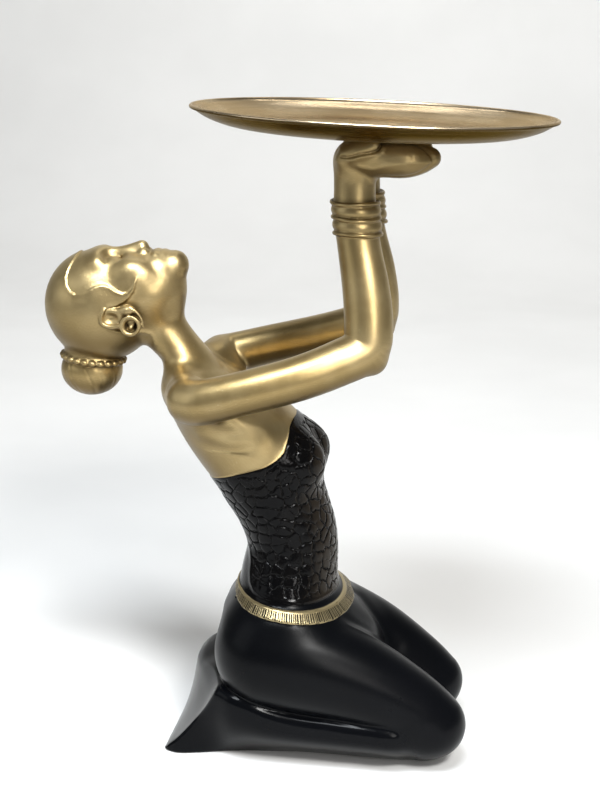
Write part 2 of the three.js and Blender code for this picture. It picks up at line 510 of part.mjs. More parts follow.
function meshOf(name, data, colour, metalness, roughness) {
  const g = geometryOf({ vert: data.vert.map(([x, y, z]) => [x + SHIFT_X, y, z]), tri: data.tri });
  g.computeVertexNormals();
  const m = new THREE.Mesh(g, new THREE.MeshStandardMaterial({ color: colour, metalness, roughness }));
  m.name = name;
  return m;
}

const model = new THREE.Group();
model.name = 'kneeling_woman_tray';
model.add(meshOf('figure', buildFigure(), 0x9a8140, 0.3, 0.4));
model.add(meshOf('tray', buildTray(), 0xb59a5a, 0.9, 0.35));
export default model;
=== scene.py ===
import math
import bmesh
import bpy
import numpy as np
from mathutils import Matrix, Vector


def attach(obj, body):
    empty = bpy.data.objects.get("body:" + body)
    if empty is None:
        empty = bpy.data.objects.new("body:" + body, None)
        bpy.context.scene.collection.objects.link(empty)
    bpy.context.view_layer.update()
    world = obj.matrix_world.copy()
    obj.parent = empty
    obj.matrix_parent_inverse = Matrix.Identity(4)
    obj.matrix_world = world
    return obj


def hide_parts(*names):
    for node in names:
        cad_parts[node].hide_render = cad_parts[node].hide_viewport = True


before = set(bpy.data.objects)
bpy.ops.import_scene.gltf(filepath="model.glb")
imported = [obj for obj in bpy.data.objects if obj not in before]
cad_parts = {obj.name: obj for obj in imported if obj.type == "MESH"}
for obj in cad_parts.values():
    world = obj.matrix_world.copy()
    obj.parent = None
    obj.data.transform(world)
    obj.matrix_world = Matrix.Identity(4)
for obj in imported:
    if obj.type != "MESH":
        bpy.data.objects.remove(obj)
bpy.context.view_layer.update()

# Kneeling woman holding a round tray on her raised palms. The same field of named sizes as the
# solids, in millimetres before SHIFT_X, with the fine relief added to it.
F32 = np.float32
SHIFT_X = 8.76
STEP = 0.68                 # spacing of the sampling grid
FIGURE_FACES = 190000

# ------------------------------------------------------------------ sizes shared with the solids
TRAY_X, TRAY_Z, TRAY_TILT = 41.8, 443.4, math.radians(1.4)
TRAY_R, LIP_R, TRAY_DEPTH, TRAY_WALL, FLOOR_R, AIR = 118.2, 1.2, 12.0, 1.5, 80.0, 0.3

SKULL = ((-140.5, 0, 310), (38.2, 33, 38.2))
FACE = ((-116, 0, 321), (32, 26.5, 27))
JAW = [(-118, 0, 316, 23), (-103, 0, 324, 18.5), (-92.5, 0, 336, 10.5)]
BROW = ((-139, 0, 340), (8.5, 21, 10))
SOCKET = ((-129, 12.5, 348.5), (7.5, 8.5, 6.5))
EYE = ((-128.6, 11.8, 337.6), (8.4, 8.2, 7.8))
NOSE = [(-134, 0, 344, 3.6), (-122, 0, 347.6, 3.9), (-112, 0, 350.4, 4.7)]
WING = ((-109.8, 5, 346.6), (3.8, 3.2, 3.8))
CHEEK = ((-115, 15.5, 334), (13, 10, 11))
MUZZLE = ((-99.5, 0, 339.5), (11, 14.5, 9))
LIP_UP = ((-101.4, 0, 346.8), (2.7, 9.2, 2.9))
LIP_LOW = ((-96.7, 0, 346.3), (2.9, 8, 3.1))
CHIN = ((-88.2, 0, 340.2), (7.6, 9, 8.3))
EAR = ((-122.6, 31.3, 307.2), (12, 3.6, 7.8))
EARRING = ((-113.3, 29.2, 302.8), (7, 6.2, 7))
BUN = ((-148.4, 0, 264.4), (21.2, 21, 18.2))
BEADS = dict(c=(-147.2, 0, 273), a=20.3, r=2.5, dip=0.1, n=24)

TRUNK = [
    (88, -55, 40, 56), (98, -54, 38, 57.5), (105, -49.5, 34.5, 56.5), (113, -44.8, 27.5, 50.5), (120, -43, 25.2, 46),
    (129, -41.3, 24.8, 41.5), (141, -38.6, 24.8, 37.5), (147, -37.6, 24.4, 36.5), (153, -39.6, 23.8, 36), (165, -45.2, 21.5, 36.5),
    (176, -52.4, 18, 38), (189, -60.2, 14, 40.5), (204, -71.6, 11, 43), (218, -81.3, 8, 44.5), (231, -88.6, 1, 45),
    (242, -93, -11, 48), (253, -94.5, -31, 50), (261, -95, -46, 44), (267, -95.5, -55, 30), (273, -98, -60.5, 21.5),
    (283, -107.5, -68.5, 18.8), (291, -114, -75.5, 18), (302, -122, -83, 17.8), (313, -126, -85.6, 18), (325, -124, -86.6, 18),
]
BREAST = ((-5.5, 16.5, 209), (21.5, 18.5, 20))
SHOULDER = [(-80, 0, 259.5, 10), (-79, 24, 260.5, 11.5), (-74, 46, 261.5, 13)]
# fold of the chest into the arm, in front of the armpit
CHEST_FOLD = [(-67, 48.5, 264, 6.5), (-61.5, 50.5, 259, 8), (-55.5, 51.5, 252.5, 8)]
ARM = [
    (-67.5, 64, 262, 15.2), (-57, 69.5, 263.5, 14.8), (-30, 70, 271, 14.2), (2, 64, 280, 14.4), (26, 55, 288.5, 14.8),
    (43, 47, 297, 15.2), (45, 43, 311, 15.8), (42.3, 38, 334, 15.2), (37.2, 32, 358, 14), (33.2, 27.5, 380, 13.6),
    (32.4, 26, 398, 13.3), (32, 26, 414, 13.4),
]
ELBOW = ((48.5, 46, 289.5), (8.8, 9, 8.8))
HAND = [(33, 26, 415, 12.6), (48, 28, 417.8, 13), (63, 28.5, 417.7, 12.8), (72.5, 28, 417.4, 10), (80, 27.8, 418, 6.6)]
HAND_FLAT = 0.8
THUMB = [(29, 35, 417.5, 8.4), (37, 39, 422.5, 7.6), (44, 40.5, 426, 6)]
THIGH_NEAR = [(-15.8, 29, 74, 41), (4, 32, 70.4, 38.6), (45, 34, 57.5, 31.4), (80, 35, 41.5, 25.4), (97, 35, 28.5, 23.5)]
THIGH_FAR = [(-18, 29, 75, 41.2), (4, 32, 71, 38.6), (45, 34, 58, 32), (80, 34, 41.3, 24.4), (96, 34.5, 28.2, 22.4)]
LAP = ((18, 0, 70), (40, 44, 33))
BLOCK = [
    (-95, 44, -3, 46), (-81, 49.5, -2, 50), (-67, 47.5, 0, 54), (-55, 44.5, 8, 54.5), (-42, 41.5, 18.5, 52.5), (-30, 39.5, 23, 50), (-15, 38, 25, 44.5),
    (4, 36, 26.7, 40.3), (27, 36, 26.7, 38.4), (48, 36.5, 26.2, 36.6), (77, 37, 23.5, 34.6), (98, 33, 11, 30), (112, 25, 3, 22),
]
REAR = [
    (-12, -97, -92), (0, -91, -87.5), (11, -80.5, -84.5), (22, -71, -82), (34, -62.5, -80), (45, -56.5, -78), (51, -53.5, -75),
    (57, -51, -70), (63, -49, -62), (72, -46, -46),
]
REAR_FROM, REAR_TO = -44, 26
BELT = dict(low=106.8, high=113.6, rise=1.5, edge=0.9, tip=0.1)

# ------------------------------------------------------------------ sizes of the fine relief
# the bodice in side view (x, z): its neckline from the back round to the chest, then far round the front
BODICE = [
    (-90, 185), (-75, 190.5), (-62, 196.4), (-52.8, 201), (-39.3, 206.7), (-27.8, 210.4), (-21.9, 212.2), (-17.5, 214.4), (-13.7, 216.9),
    (-11.4, 218.9), (-9.3, 221.6), (-8.3, 225), (-7.7, 228.8), (-7.4, 232.2), (-7.5, 235.6), (-6.6, 238), (2, 239.4), (60, 240), (60, 90), (-120, 90),
]
# lower edge of the crackle in side view, a smooth ridge: level round the sides, climbing at the back
HEM = [(60, 114), (30, 116.4), (17.9, 116.8), (10.4, 117.3), (4, 117.9), (-2.6, 118.4), (-12.9, 119.3), (-22.3, 119.9), (-29, 121.5), (-32.2, 125), (-33.2, 131), (-33, 138), (-34.5, 144), (-40, 150), (-60, 154), (-120, 156)]
PLATE_W, PLATE_H = 9.0, 7.0  # size of the crackle plates
HATCH = 1.55                # spacing of the fringe lines on the belt
RINGS = [388.6, 378.9, 369.4]  # heights of the bracelets' thin rims
# edge of the hair in side view (x, z), from the forehead down to the ear and round to the nape
HAIR = [
    (-150, 352), (-154.5, 345.6), (-156.6, 341.5), (-158.3, 337), (-159.1, 332.1), (-157.6, 327), (-154.6, 323.6), (-150.5, 322.2),
    (-146, 323.2), (-140.5, 326.2), (-135.1, 328.8), (-131, 329), (-127.1, 327.4), (-123, 324.8), (-119.4, 323.6), (-116, 324.6),
    (-113, 328), (-110.4, 334.2), (-110.9, 329), (-112, 325), (-115, 321), (-118.5, 317.6), (-123, 315.2), (-128, 314.4), (-131, 311.5),
    (-128, 300), (-118, 296.5), (-110.4, 296.6), (-106.6, 296), (-102.6, 295), (-100.9, 291.8), (-101.4, 286), (-104, 278),
    (-120, 236), (-200, 236), (-200, 380), (-150, 380),
]


# ------------------------------------------------------------------ helpers
def smin(a, b, k):
    h = np.maximum(k - np.abs(a - b), 0) / k
    return np.minimum(a, b) - h * h * (k * 0.25)


def smax(a, b, k):
    return -smin(-a, -b, k)


def step(a, b, x):
    t = np.clip((x - a) / (b - a), 0, 1)
    return t * t * (3 - 2 * t)


def table(rows, gap=0.5):
    rows = np.array(rows, float)
    t, v = rows[:, 0], rows[:, 1:]
    n = len(t)
    h = np.diff(t)
    s = np.diff(v, axis=0) / h[:, None]
    slope = np.zeros_like(v)
    slope[0], slope[-1] = s[0], s[-1]
    slope[1:-1] = (s[:-1] * h[1:, None] + s[1:] * h[:-1, None]) / (h[:-1] + h[1:])[:, None]
    u = np.minimum(t[0] + gap * np.arange(int(math.ceil((t[-1] - t[0]) / gap)) + 1), t[-1])
    i = np.clip(np.searchsorted(t, u, side="right") - 1, 0, n - 2)
    q = ((u - t[i]) / h[i])[:, None]
    hh = h[i][:, None]
    cols = v[i] * (2 * q**3 - 3 * q**2 + 1) + slope[i] * hh * (q**3 - 2 * q**2 + q) + v[i + 1] * (3 * q**2 - 2 * q**3) + slope[i + 1] * hh * (q**3 - q**2)
    return lambda c, x: np.interp(x, u, cols[:, c]).astype(F32)


def blank(x):
    return np.full(x.shape, 60, F32)


def near(x, y, z, lo, hi, m=26):
    return not (x.max() < lo[0] - m or x.min() > hi[0] + m or y.max() < lo[1] - m or y.min() > hi[1] + m or z.max() < lo[2] - m or z.min() > hi[2] + m)


def chain(points, parts=6):
    p = np.array(points, float)
    n = len(p)
    q = []
    for i in range(n - 1):
        a, b, c, d = p[max(i - 1, 0)], p[i], p[i + 1], p[min(i + 2, n - 1)]
        for k in range(parts):
            s = k / parts
            q.append(0.5 * (2 * b + (c - a) * s + (2 * a - 5 * b + 4 * c - d) * s * s + (3 * b - a - 3 * c + d) * s**3))
    q.append(p[-1])
    q = np.array(q)
    r = q[:, 3].max()
    lo, hi = q[:, :3].min(0) - r, q[:, :3].max(0) + r
    segs = [[F32(v) for v in (*q[i], *(q[i + 1] - q[i]), 1 / ((q[i + 1, :3] - q[i, :3]) ** 2).sum())] for i in range(len(q) - 1)]

    def f(x, y, z):
        out = blank(x)
        m = (x > lo[0] - 26) & (x < hi[0] + 26) & (y > lo[1] - 26) & (y < hi[1] + 26) & (z > lo[2] - 26) & (z < hi[2] + 26)
        if not m.any():
            return out
        x, y, z = x[m], y[m], z[m]
        best = np.full(x.shape, 1e3, F32)
        for ax, ay, az, ar, dx, dy, dz, dr, inv in segs:
            px, py, pz = x - ax, y - ay, z - az
            t = np.clip((px * dx + py * dy + pz * dz) * inv, 0, 1)
            px -= dx * t
            py -= dy * t
            pz -= dz * t
            np.minimum(best, np.sqrt(px * px + py * py + pz * pz) - ar - dr * t, out=best)
        out[m] = best
        return out

    return f


def egg(e):
    c, r = [F32(v) for v in e[0]], [F32(v) for v in e[1]]

    def f(x, y, z):
        if not near(x, y, z, [c[i] - r[i] for i in range(3)], [c[i] + r[i] for i in range(3)]):
            return blank(x)
        ux, uy, uz = (x - c[0]) / r[0], (y - c[1]) / r[1], (z - c[2]) / r[2]
        k0 = np.sqrt(ux * ux + uy * uy + uz * uz)
        k1 = np.sqrt((ux / r[0]) ** 2 + (uy / r[1]) ** 2 + (uz / r[2]) ** 2)
        return k0 * (k0 - 1) / np.maximum(k1, 1e-6)

    return f


# ------------------------------------------------------------------ the field
trunk_at, block_at, rear_at = table(TRUNK), table(BLOCK), table(REAR)
skull, face_egg, jaw, brow, socket, eye = egg(SKULL), egg(FACE), chain(JAW), egg(BROW), egg(SOCKET), egg(EYE)
nose, wing, cheek, muzzle, lip_up, lip_low, chin = chain(NOSE), egg(WING), egg(CHEEK), egg(MUZZLE), egg(LIP_UP), egg(LIP_LOW), egg(CHIN)
ear_egg, bun, breast, shoulder, arm = egg(EAR), egg(BUN), egg(BREAST), chain(SHOULDER), chain(ARM)
elbow, thumb, chest_fold = egg(ELBOW), chain(THUMB), chain(CHEST_FOLD)
hand = chain([(x, y * HAND_FLAT, z, r) for x, y, z, r in HAND])
thigh_near, thigh_far, lap = chain(THIGH_NEAR, 16), chain(THIGH_FAR, 16), egg(LAP)


def trunk(x, y, z):
    back, front, b = trunk_at(0, z), trunk_at(1, z), trunk_at(2, z)
    cx, a = (back + front) / 2, (front - back) / 2
    px, py = (x - cx) / a, y / b
    k0, k1 = np.sqrt(px * px + py * py), np.sqrt((px / a) ** 2 + (py / b) ** 2)
    return k0 * (k0 - 1) / np.maximum(k1, 1e-6)


HELIX = [(-130.6, 33.0, 313.2, 0.9), (-132.3, 33.4, 310.4, 1.3), (-133, 33.6, 306.9, 1.5), (-132.2, 33.6, 304, 1.5), (-129.6, 33.8, 302.3, 1.5), (-125.4, 34.2, 301.8, 1.5), (-121, 34.6, 302.8, 1.4), (-118, 35, 304.4, 1.1)]
ear_helix = chain(HELIX, 4)
ear_back = egg(((-124.6, 30.6, 307.6), (8.8, 3.6, 6.6)))
ear_bowl = egg(((-126.8, 35.4, 307.6), (5.8, 4.4, 4.2)))
ear_lump = egg(((-115.4, 31.4, 313.0), (5.4, 4.2, 3.6)))
ear_ridge = chain([(-113, 33.4, 315.4, 1.1), (-108.6, 33.2, 312, 1.0), (-105.6, 33, 307.4, 0.9), (-104.8, 32.6, 302, 0.8)], 4)


def ear(x, y, z):
    """Stylised ear: a rolled rim round a bowl, a soft lump over it, and a round earring with a deep cup."""
    if not near(x, y, z, (-137, 22, 292), (-101, 40, 320), 3):
        return blank(x)
    d = smin(ear_back(x, y, z), ear_lump(x, y, z), 3)
    d = smax(d, -ear_bowl(x, y, z), 1.6)
    d = smin(d, ear_helix(x, y, z), 1.0)
    d = smin(d, ear_ridge(x, y, z), 1.4)
    ex, ey, ez = -113.0, 34.4, 303.2
    px, pz = x - ex, z - ez
    py = y - ey + 0.10 * px
    q = np.sqrt(px * px + pz * pz)
    drum = smax(q - 6.4, np.abs(py + 3) - 3.6, 1.2)
    drum = smin(drum, np.hypot(q - 5.9, py - 0.3) - 1.25, 0.8)
    drum = smax(drum, -(np.sqrt((px - 0.4) ** 2 + (pz + 0.3) ** 2 + (py * 0.8) ** 2) - 4.0), 0.7)
    pearl = np.sqrt((px + 0.2) ** 2 + (pz + 1.7) ** 2 + (py + 2.2) ** 2) - 1.9
    disc = smax(np.hypot(px - 0.2, pz - 1.1) - 2.3, np.abs(py + 2.4) - 0.9, 0.8)
    return smin(d, smin(drum, smin(pearl, disc, 0.4), 0.4), 0.6)


def head(x, y, z):
    if not near(x, y, z, (-192, -38, 240), (-78, 38, 362), 30):
        return blank(x)
    ay = np.abs(y)
    d = smin(skull(x, y, z), face_egg(x, y, z), 8)
    d = smin(d, jaw(x, y, z), 7)
    d = smin(d, brow(x, y, z), 6)
    d = smin(d, cheek(x, ay, z), 7)
    d = smin(d, muzzle(x, y, z), 5)
    d = smin(d, chin(x, y, z), 5)
    d = smax(d, -socket(x, ay, z), 4)
    d = smin(d, eye(x, ay, z), 1.5)
    d = smin(d, nose(x, y, z), 4.5)
    d = smin(d, wing(x, ay, z), 2)
    d = smin(d, smin(lip_up(x, y, z), lip_low(x, y, z), 0.6), 2.4)
    # closed lids: a soft line below the middle of each eye
    lid = np.hypot(x + 124.4 + 0.02 * (ay - 11.8) ** 2, (z - 345.2) * 0.5 + 0.02 * (ay - 11.8) ** 2) - 0.55
    d = smax(d, -smax(lid, np.abs(ay - 11.8) - 6.2, 0.8), 0.5)
    # hair lies a little proud of the skin, with a rolled edge
    s = hair_edge(x, z)
    fade = 1 - 0.85 * step(-153, -149, x) * step(-140, -146, x) * step(316, 320, z)
    d = d - fade * (0.75 * step(-0.8, 0.9, s) + 0.42 * np.exp(-(((s - 0.6) / 1.1) ** 2)))
    d = smin(d, ear(x, ay, z), 0.8)
    # bun with drawn strands
    b = bun(x, y, z)
    phi = np.arctan2(y, x - BUN[0][0])
    w = phi * 11 / math.pi + 0.05 * (z - BUN[0][2]) + 0.35 * np.sin(phi * 3 + 1)
    line = np.abs(w - np.round(w)) * 5.4
    b = b + 0.5 * np.exp(-((line / 0.55) ** 2)) * step(246, 252, z) * (0.6 + 0.4 * np.sin(np.round(w) * 2.3))
    d = smin(d, b, 1.6)
    # string of oval beads where the bun leaves the head
    rx = x - BEADS["c"][0]
    q, zz = np.hypot(rx, y), z - (BEADS["c"][2] - BEADS["dip"] * rx)
    d = smin(d, np.maximum(q - BEADS["a"], np.abs(zz) - 1.7), 1)
    d = smin(d, np.maximum(q - BEADS["a"] + 0.7, np.abs(zz - 5) - 6), 2.5)
    k = BEADS["n"] / (2 * math.pi)
    t = (phi * k - np.round(phi * k)) / k * BEADS["a"]
    bead = (np.sqrt((t / 2.95) ** 2 + ((q - BEADS["a"] - 0.2) / 2.6) ** 2 + (zz / 2.25) ** 2) - 1) * 2.2
    cord = np.hypot(q - BEADS["a"] + 0.6, zz - 2.1) - 0.9
    return smin(smin(d, cord, 0.4), bead, 0.35)


def side_stroke(x, z, line, width):
    """Soft weight round a line drawn in side view."""
    p = np.array(line, F32)
    best = np.full(x.shape, 1e9, F32)
    for a, b in zip(p[:-1], p[1:]):
        d = b - a
        t = np.clip(((x - a[0]) * d[0] + (z - a[1]) * d[1]) / (d @ d), 0, 1)
        best = np.minimum(best, (x - a[0] - d[0] * t) ** 2 + (z - a[1] - d[1] * t) ** 2)
    return np.exp(-best / (width * width))


def side_region(poly):
    """Distance from the edge of a region drawn in side view, positive inside it."""
    p = np.array(poly, F32)

    def f(x, z):
        best, inside = np.full(x.shape, 1e9, F32), np.zeros(x.shape, bool)
        for (ax, az), (bx, bz) in zip(p, np.roll(p, -1, 0)):
            dx, dz = bx - ax, bz - az
            t = np.clip(((x - ax) * dx + (z - az) * dz) / (dx * dx + dz * dz), 0, 1)
            best = np.minimum(best, (x - ax - dx * t) ** 2 + (z - az - dz * t) ** 2)
            if dz:
                inside ^= ((az > z) != (bz > z)) & (x < dx * (z - az) / dz + ax)
        return np.where(inside, np.sqrt(best), -np.sqrt(best))

    return f


hair_edge, in_bodice, above_hem = side_region(HAIR), side_region(BODICE), side_region(HEM + [(-120, 300), (60, 300)])


def stroke(x, y, z, line, width):
    """Soft weight round a short line of points."""
    p = np.array(line, F32)
    best = np.full(x.shape, 1e9, F32)
    for a, b in zip(p[:-1], p[1:]):
        d = b - a
        t = np.clip(((x - a[0]) * d[0] + (y - a[1]) * d[1] + (z - a[2]) * d[2]) / (d @ d), 0, 1)
        best = np.minimum(best, (x - a[0] - d[0] * t) ** 2 + (y - a[1] - d[1] * t) ** 2 + (z - a[2] - d[2] * t) ** 2)
    return np.exp(-best / (width * width))


# lines of the hand: the thumb's edge, a roll beside it, the heel of the hand and its knuckle edge
HAND_LINES = [
    ([(24.6, 418.4), (28.8, 418.1), (36.6, 420.6), (44.3, 422), (47.6, 423.6), (48.8, 426), (48.6, 430)], 0.8, -1.2),
    ([(30, 416.2), (37.6, 418.4), (45, 419.8), (49.6, 421.6), (51, 425)], 1.2, 0.5),
    ([(22, 420.5), (24.4, 417.4), (28.6, 412.6), (34.6, 409), (41, 406)], 2.6, -0.8),
    ([(36, 412.6), (44.4, 411), (56, 414.4), (68, 416), (80, 416.2)], 1.5, 0.45),
    ([(67.6, 424), (69.4, 417)], 0.7, -0.18),
    ([(77.6, 423), (78.6, 416)], 0.7, -0.22),
]
# folds of skin below the arm, and the drawn edge of the chest: line, width, height
FOLDS = [
    ([(-66, 41, 231.4), (-57, 43, 230.9), (-50, 44.2, 230), (-40.5, 44.7, 229.9), (-31, 43.4, 230.6)], 4.6, 0.8),
    ([(-60, 43, 224.5), (-48, 44, 223), (-36, 44, 222.5)], 5, -0.45),
    ([(-64, 46, 243), (-54.3, 46.5, 238.6), (-45, 46.5, 236.6)], 5.0, -1.1),
    ([(-23, 38, 240), (-18, 37, 234), (-15, 37.2, 229)], 5, 0.5),
    ([(-70, 30, 270), (-62, 18, 267.6), (-54, 4, 264.6)], 3.2, 0.9),
]


def upper(x, y, z):
    ay = np.abs(y)
    d = smax(trunk(x, y, z), np.abs(z - 205) - 118, 10)
    d = smin(d, smin(breast(x, y, z), breast(x, -y, z), 4), 9)
    d = smin(d, shoulder(x, ay, z), 16)
    d = smin(d, chest_fold(x, ay, z), 7)
    a = smin(arm(x, ay, z), elbow(x, ay, z), 5)
    h = hand(x + np.where(y > 0, 0.16 * np.maximum(x - 42, 0), 0), ay * F32(HAND_FLAT), z)
    if near(x, ay, z, (20, 5, 400), (90, 50, 436), 4):
        # fingers lie together: shallow valleys between them, on the far half of the hand
        for gy in (19.6, 28.2, 36.6):
            g = np.exp(-(((ay - gy + 0.03 * (x - 60)) / 1.0) ** 2)) * step(46, 60, x)
            h = h + 0.75 * g
    a = smin(a, smin(h, thumb(x, ay, z), 2.2), 5)
    if near(x, ay, z, (15, 30, 395), (95, 55, 436), 4):
        for line, width, height in HAND_LINES:
            a = a - height * side_stroke(x, z, line, width) * step(28, 33, ay)
    return smin(d, a, 12 - 6 * step(-64, -58, x) * step(-20, -40, x))


def bracelets(x, y, z):
    if not near(x, y, z, (10, -50, 362), (56, 50, 396), 6):
        return blank(x)
    ay = np.abs(y)
    cx, cy = 34.2 + (z - 380) * F32(-0.11), 27.8 + (z - 380) * F32(-0.1)
    ang = np.arctan2(ay - cy, x - cx)
    q = np.hypot(x - cx, ay - cy)
    d = blank(x)
    for i, h in enumerate(RINGS):
        sway = 0.45 * np.sin(2 * ang + i * 2.1)
        d = np.minimum(d, np.hypot(q - 15.3 - 0.25 * np.cos(ang + 2.6 + i), (z - h - sway) * 0.9) - 1.15)
    for h in ((RINGS[0] + RINGS[1]) / 2, (RINGS[1] + RINGS[2]) / 2):
        band = np.sqrt(((q - 12.0) / 4.1) ** 2 + ((z - h) / 4.6) ** 2)
        d = smin(d, (band - 1) * 3.6, 0.7)
    return smin(d, smax(q - 14.3, np.abs(z - 379) - 10, 1), 0.6)


def block(x, y, z):
    top = block_at(2, x)
    lift = np.clip(z / (0.72 * top), 0, 1)
    wall = block_at(0, x) + block_at(1, x) * np.sin(lift * F32(math.pi / 2))
    s = np.clip((y - REAR_FROM) / F32(REAR_TO - REAR_FROM), 0, 1)
    s = s * s * (3 - 2 * s) * 0.5 + s * 0.5
    back = rear_at(0, z) * (1 - s) + rear_at(1, z) * s
    side = np.abs(y) - wall
    top_d = z - top
    d = smax(side, top_d, 9.5)
    e = (back - x) * 0.85
    d = smax(d, e, 3 + 11 * step(-22, 8, y))
    return smax(d, x - 106, 26)


# drawn lines on the skirt: line (x, y, z), width, height
SKIRT_LINES = [
    ([(36, -33, 97.5), (48, -31, 91.5), (59, -28, 84.5), (71, -26.5, 76.5), (82, -25.5, 68), (94, -25, 59), (104, -25.5, 51), (112, -28, 44)], 1.1, 0.6),
    ([(33, 20, 101), (41.4, 22, 97), (50, 13, 90.5), (57.6, 8.5, 80.5), (64.2, 9, 72), (71, 10, 65)], 5, -1.0),
    ([(24, -30, 102), (36, -26, 97), (48, -21, 90), (58, -15, 81)], 4.5, -0.8),
]


def lower(x, y, z):
    t = smin(thigh_near(x, -y, z), thigh_far(x, y, z), 16)
    d = smin(t, lap(x, y, z), 12)
    return smin(d, block(x, y, z), 2.4 + 14 * step(70, 96, x))


def belt_height(x, z):
    return z + F32(BELT["tip"]) * x


def belt(x, z):
    h = belt_height(x, z)
    return BELT["rise"] * np.minimum(np.clip((h - BELT["low"]) / BELT["edge"], 0, 1), np.clip((BELT["high"] - h) / BELT["edge"], 0, 1))


up_x, up_z = math.sin(TRAY_TILT), math.cos(TRAY_TILT)
palm_x, palm_z = TRAY_X - up_x * (TRAY_DEPTH + AIR), TRAY_Z - up_z * (TRAY_DEPTH + AIR)


def figure(x, y, z):
    d = upper(x, y, z)
    if z.min() < 150:
        m = z < 150
        xs, ys, zs = x[m], y[m], z[m]
        d[m] = smin(d[m], lower(xs, ys, zs), 9)
        m = (z > 96) & (z < 124)
        d[m] -= belt(x[m], z[m])
    if z.max() > 225:
        d = smin(d, head(x, y, z), 9)
        m = z > 215
        xs, ys, zs = x[m], np.abs(y[m]), z[m]
        if len(xs) and near(xs, ys, zs, (-72, 0, 215), (-8, 50, 272), 8):
            e = d[m]
            for line, width, height in FOLDS:
                e = e - height * stroke(xs, ys, zs, line, width)
            d[m] = e
        if near(x, y, z, (-116, -26, 284), (-96, 26, 302), 4):
            d = d - 0.8 * stroke(x, np.abs(y), z, [(-110.4, 20.1, 296.9), (-106.6, 18.7, 296.4), (-102.6, 18.2, 295), (-100.6, 17.4, 291.8), (-100, 16.5, 287.6)], 1.5)
        d = smin(d, bracelets(x, y, z), 0.9)
    if near(x, y, z, (20, -40, 40), (118, 30, 105), 6):
        for line, width, height in SKIRT_LINES:
            d = d - height * stroke(x, y, z, line, width)
    # the bodice is a shell of its own thickness over the skin, with a rounded ridge at its lower edge
    if z.max() > 108 and z.min() < 243 and near(x, y, z, (-100, -48, 108), (30, 48, 243), 4):
        hem = above_hem(x, z)
        on = (np.abs(y) < 50) * step(100, 104, z)
        d = d - 0.85 * step(-0.7, 0.8, in_bodice(x, z)) * step(-0.8, 0.8, hem) * on
        d = d - 0.7 * np.exp(-(((hem + 0.3) / 1.2) ** 2)) * on
    d = np.maximum(d, -z)
    return np.maximum(d, (x - palm_x) * F32(up_x) + (z - palm_z) * F32(up_z))


def evaluate(f, p, size=40000):
    out = np.empty(len(p), F32)
    for i in range(0, len(p), size):
        q = p[i : i + size]
        out[i : i + size] = f(q[:, 0].copy(), q[:, 1].copy(), q[:, 2].copy())
    return out


# ------------------------------------------------------------------ field to closed skin
CUBE = np.array([[i & 1, (i >> 1) & 1, i >> 2] for i in range(8)])


def skin(f, lo, hi, h):
    """Closed skin of f = 0 on a grid of spacing h, found in three halvings from a grid of 8 h."""
    lo = np.array(lo, float)
    n = np.ceil((np.array(hi) - lo) / (8 * h)).astype(int)
    cells = np.stack(np.meshgrid(*[np.arange(m) for m in n], indexing="ij"), -1).reshape(-1, 3)
    cells = cells[np.lexsort((cells[:, 0], cells[:, 1], cells[:, 2]))]
    for size, slack in ((8, 1.9), (4, 1.6), (2, 1.5)):
        c = (lo + (cells + 0.5) * size * h).astype(F32)
        keep = np.abs(evaluate(f, c)) < size * h * 0.87 * slack + 0.6
        cells = cells[keep]
        if size > 2:
            cells = (cells[:, None, :] * 2 + CUBE[None]).reshape(-1, 3)
    dims = n * 8 + 2
    sub = (cells[:, None, :] * 2 + CUBE[None]).reshape(-1, 3)
    stride = np.array([1, dims[0], dims[0] * dims[1]], np.int64)
    key = sub @ stride
    corner_key = CUBE @ stride
    node = np.unique((key[:, None] + corner_key[None]).ravel())
    ijk = np.stack([node % dims[0], node // dims[0] % dims[1], node // (dims[0] * dims[1])], -1)
    val = evaluate(f, (lo + ijk * h).astype(F32))
    v = val[np.searchsorted(node, key[:, None] + corner_key[None])]
    inside = v < 0
    count = inside.sum(1)
    mixed = (count > 0) & (count < 8)
    key, sub, v, inside = key[mixed], sub[mixed], v[mixed], inside[mixed]
    order = np.argsort(key)
    key, sub, v, inside = key[order], sub[order], v[order], inside[order]
    acc, num = np.zeros((len(key), 3)), np.zeros(len(key))
    for a in range(8):
        for axis in range(3):
            b = a | (1 << axis)
            if a == b:
                continue
            c = inside[:, a] != inside[:, b]
            t = v[c, a] / (v[c, a] - v[c, b])
            p = np.repeat(CUBE[a][None].astype(float), c.sum(), 0)
            p[:, axis] += t
            acc[c] += p
            num[c] += 1
    vert = lo + (sub + acc / num[:, None]) * h
    quads = []
    rings = ([(0, -1, -1), (0, 0, -1), (0, 0, 0), (0, -1, 0)], [(-1, 0, -1), (-1, 0, 0), (0, 0, 0), (0, 0, -1)], [(-1, -1, 0), (0, -1, 0), (0, 0, 0), (-1, 0, 0)])
    for axis in range(3):
        b = 1 << axis
        c = inside[:, 0] != inside[:, b]
        q = np.stack([np.searchsorted(key, key[c] + np.array(o) @ stride) for o in rings[axis]], -1)
        flip = ~inside[c, 0]
        q[flip] = q[flip][:, ::-1]
        quads.append(q)
    q = np.concatenate(quads)
    p = vert[q]
    short = ((p[:, 0] - p[:, 2]) ** 2).sum(1) < ((p[:, 1] - p[:, 3]) ** 2).sum(1)
    tri = np.concatenate([q[short][:, [0, 1, 2]], q[short][:, [0, 2, 3]], q[~short][:, [0, 1, 3]], q[~short][:, [1, 2, 3]]])
    return vert, tri


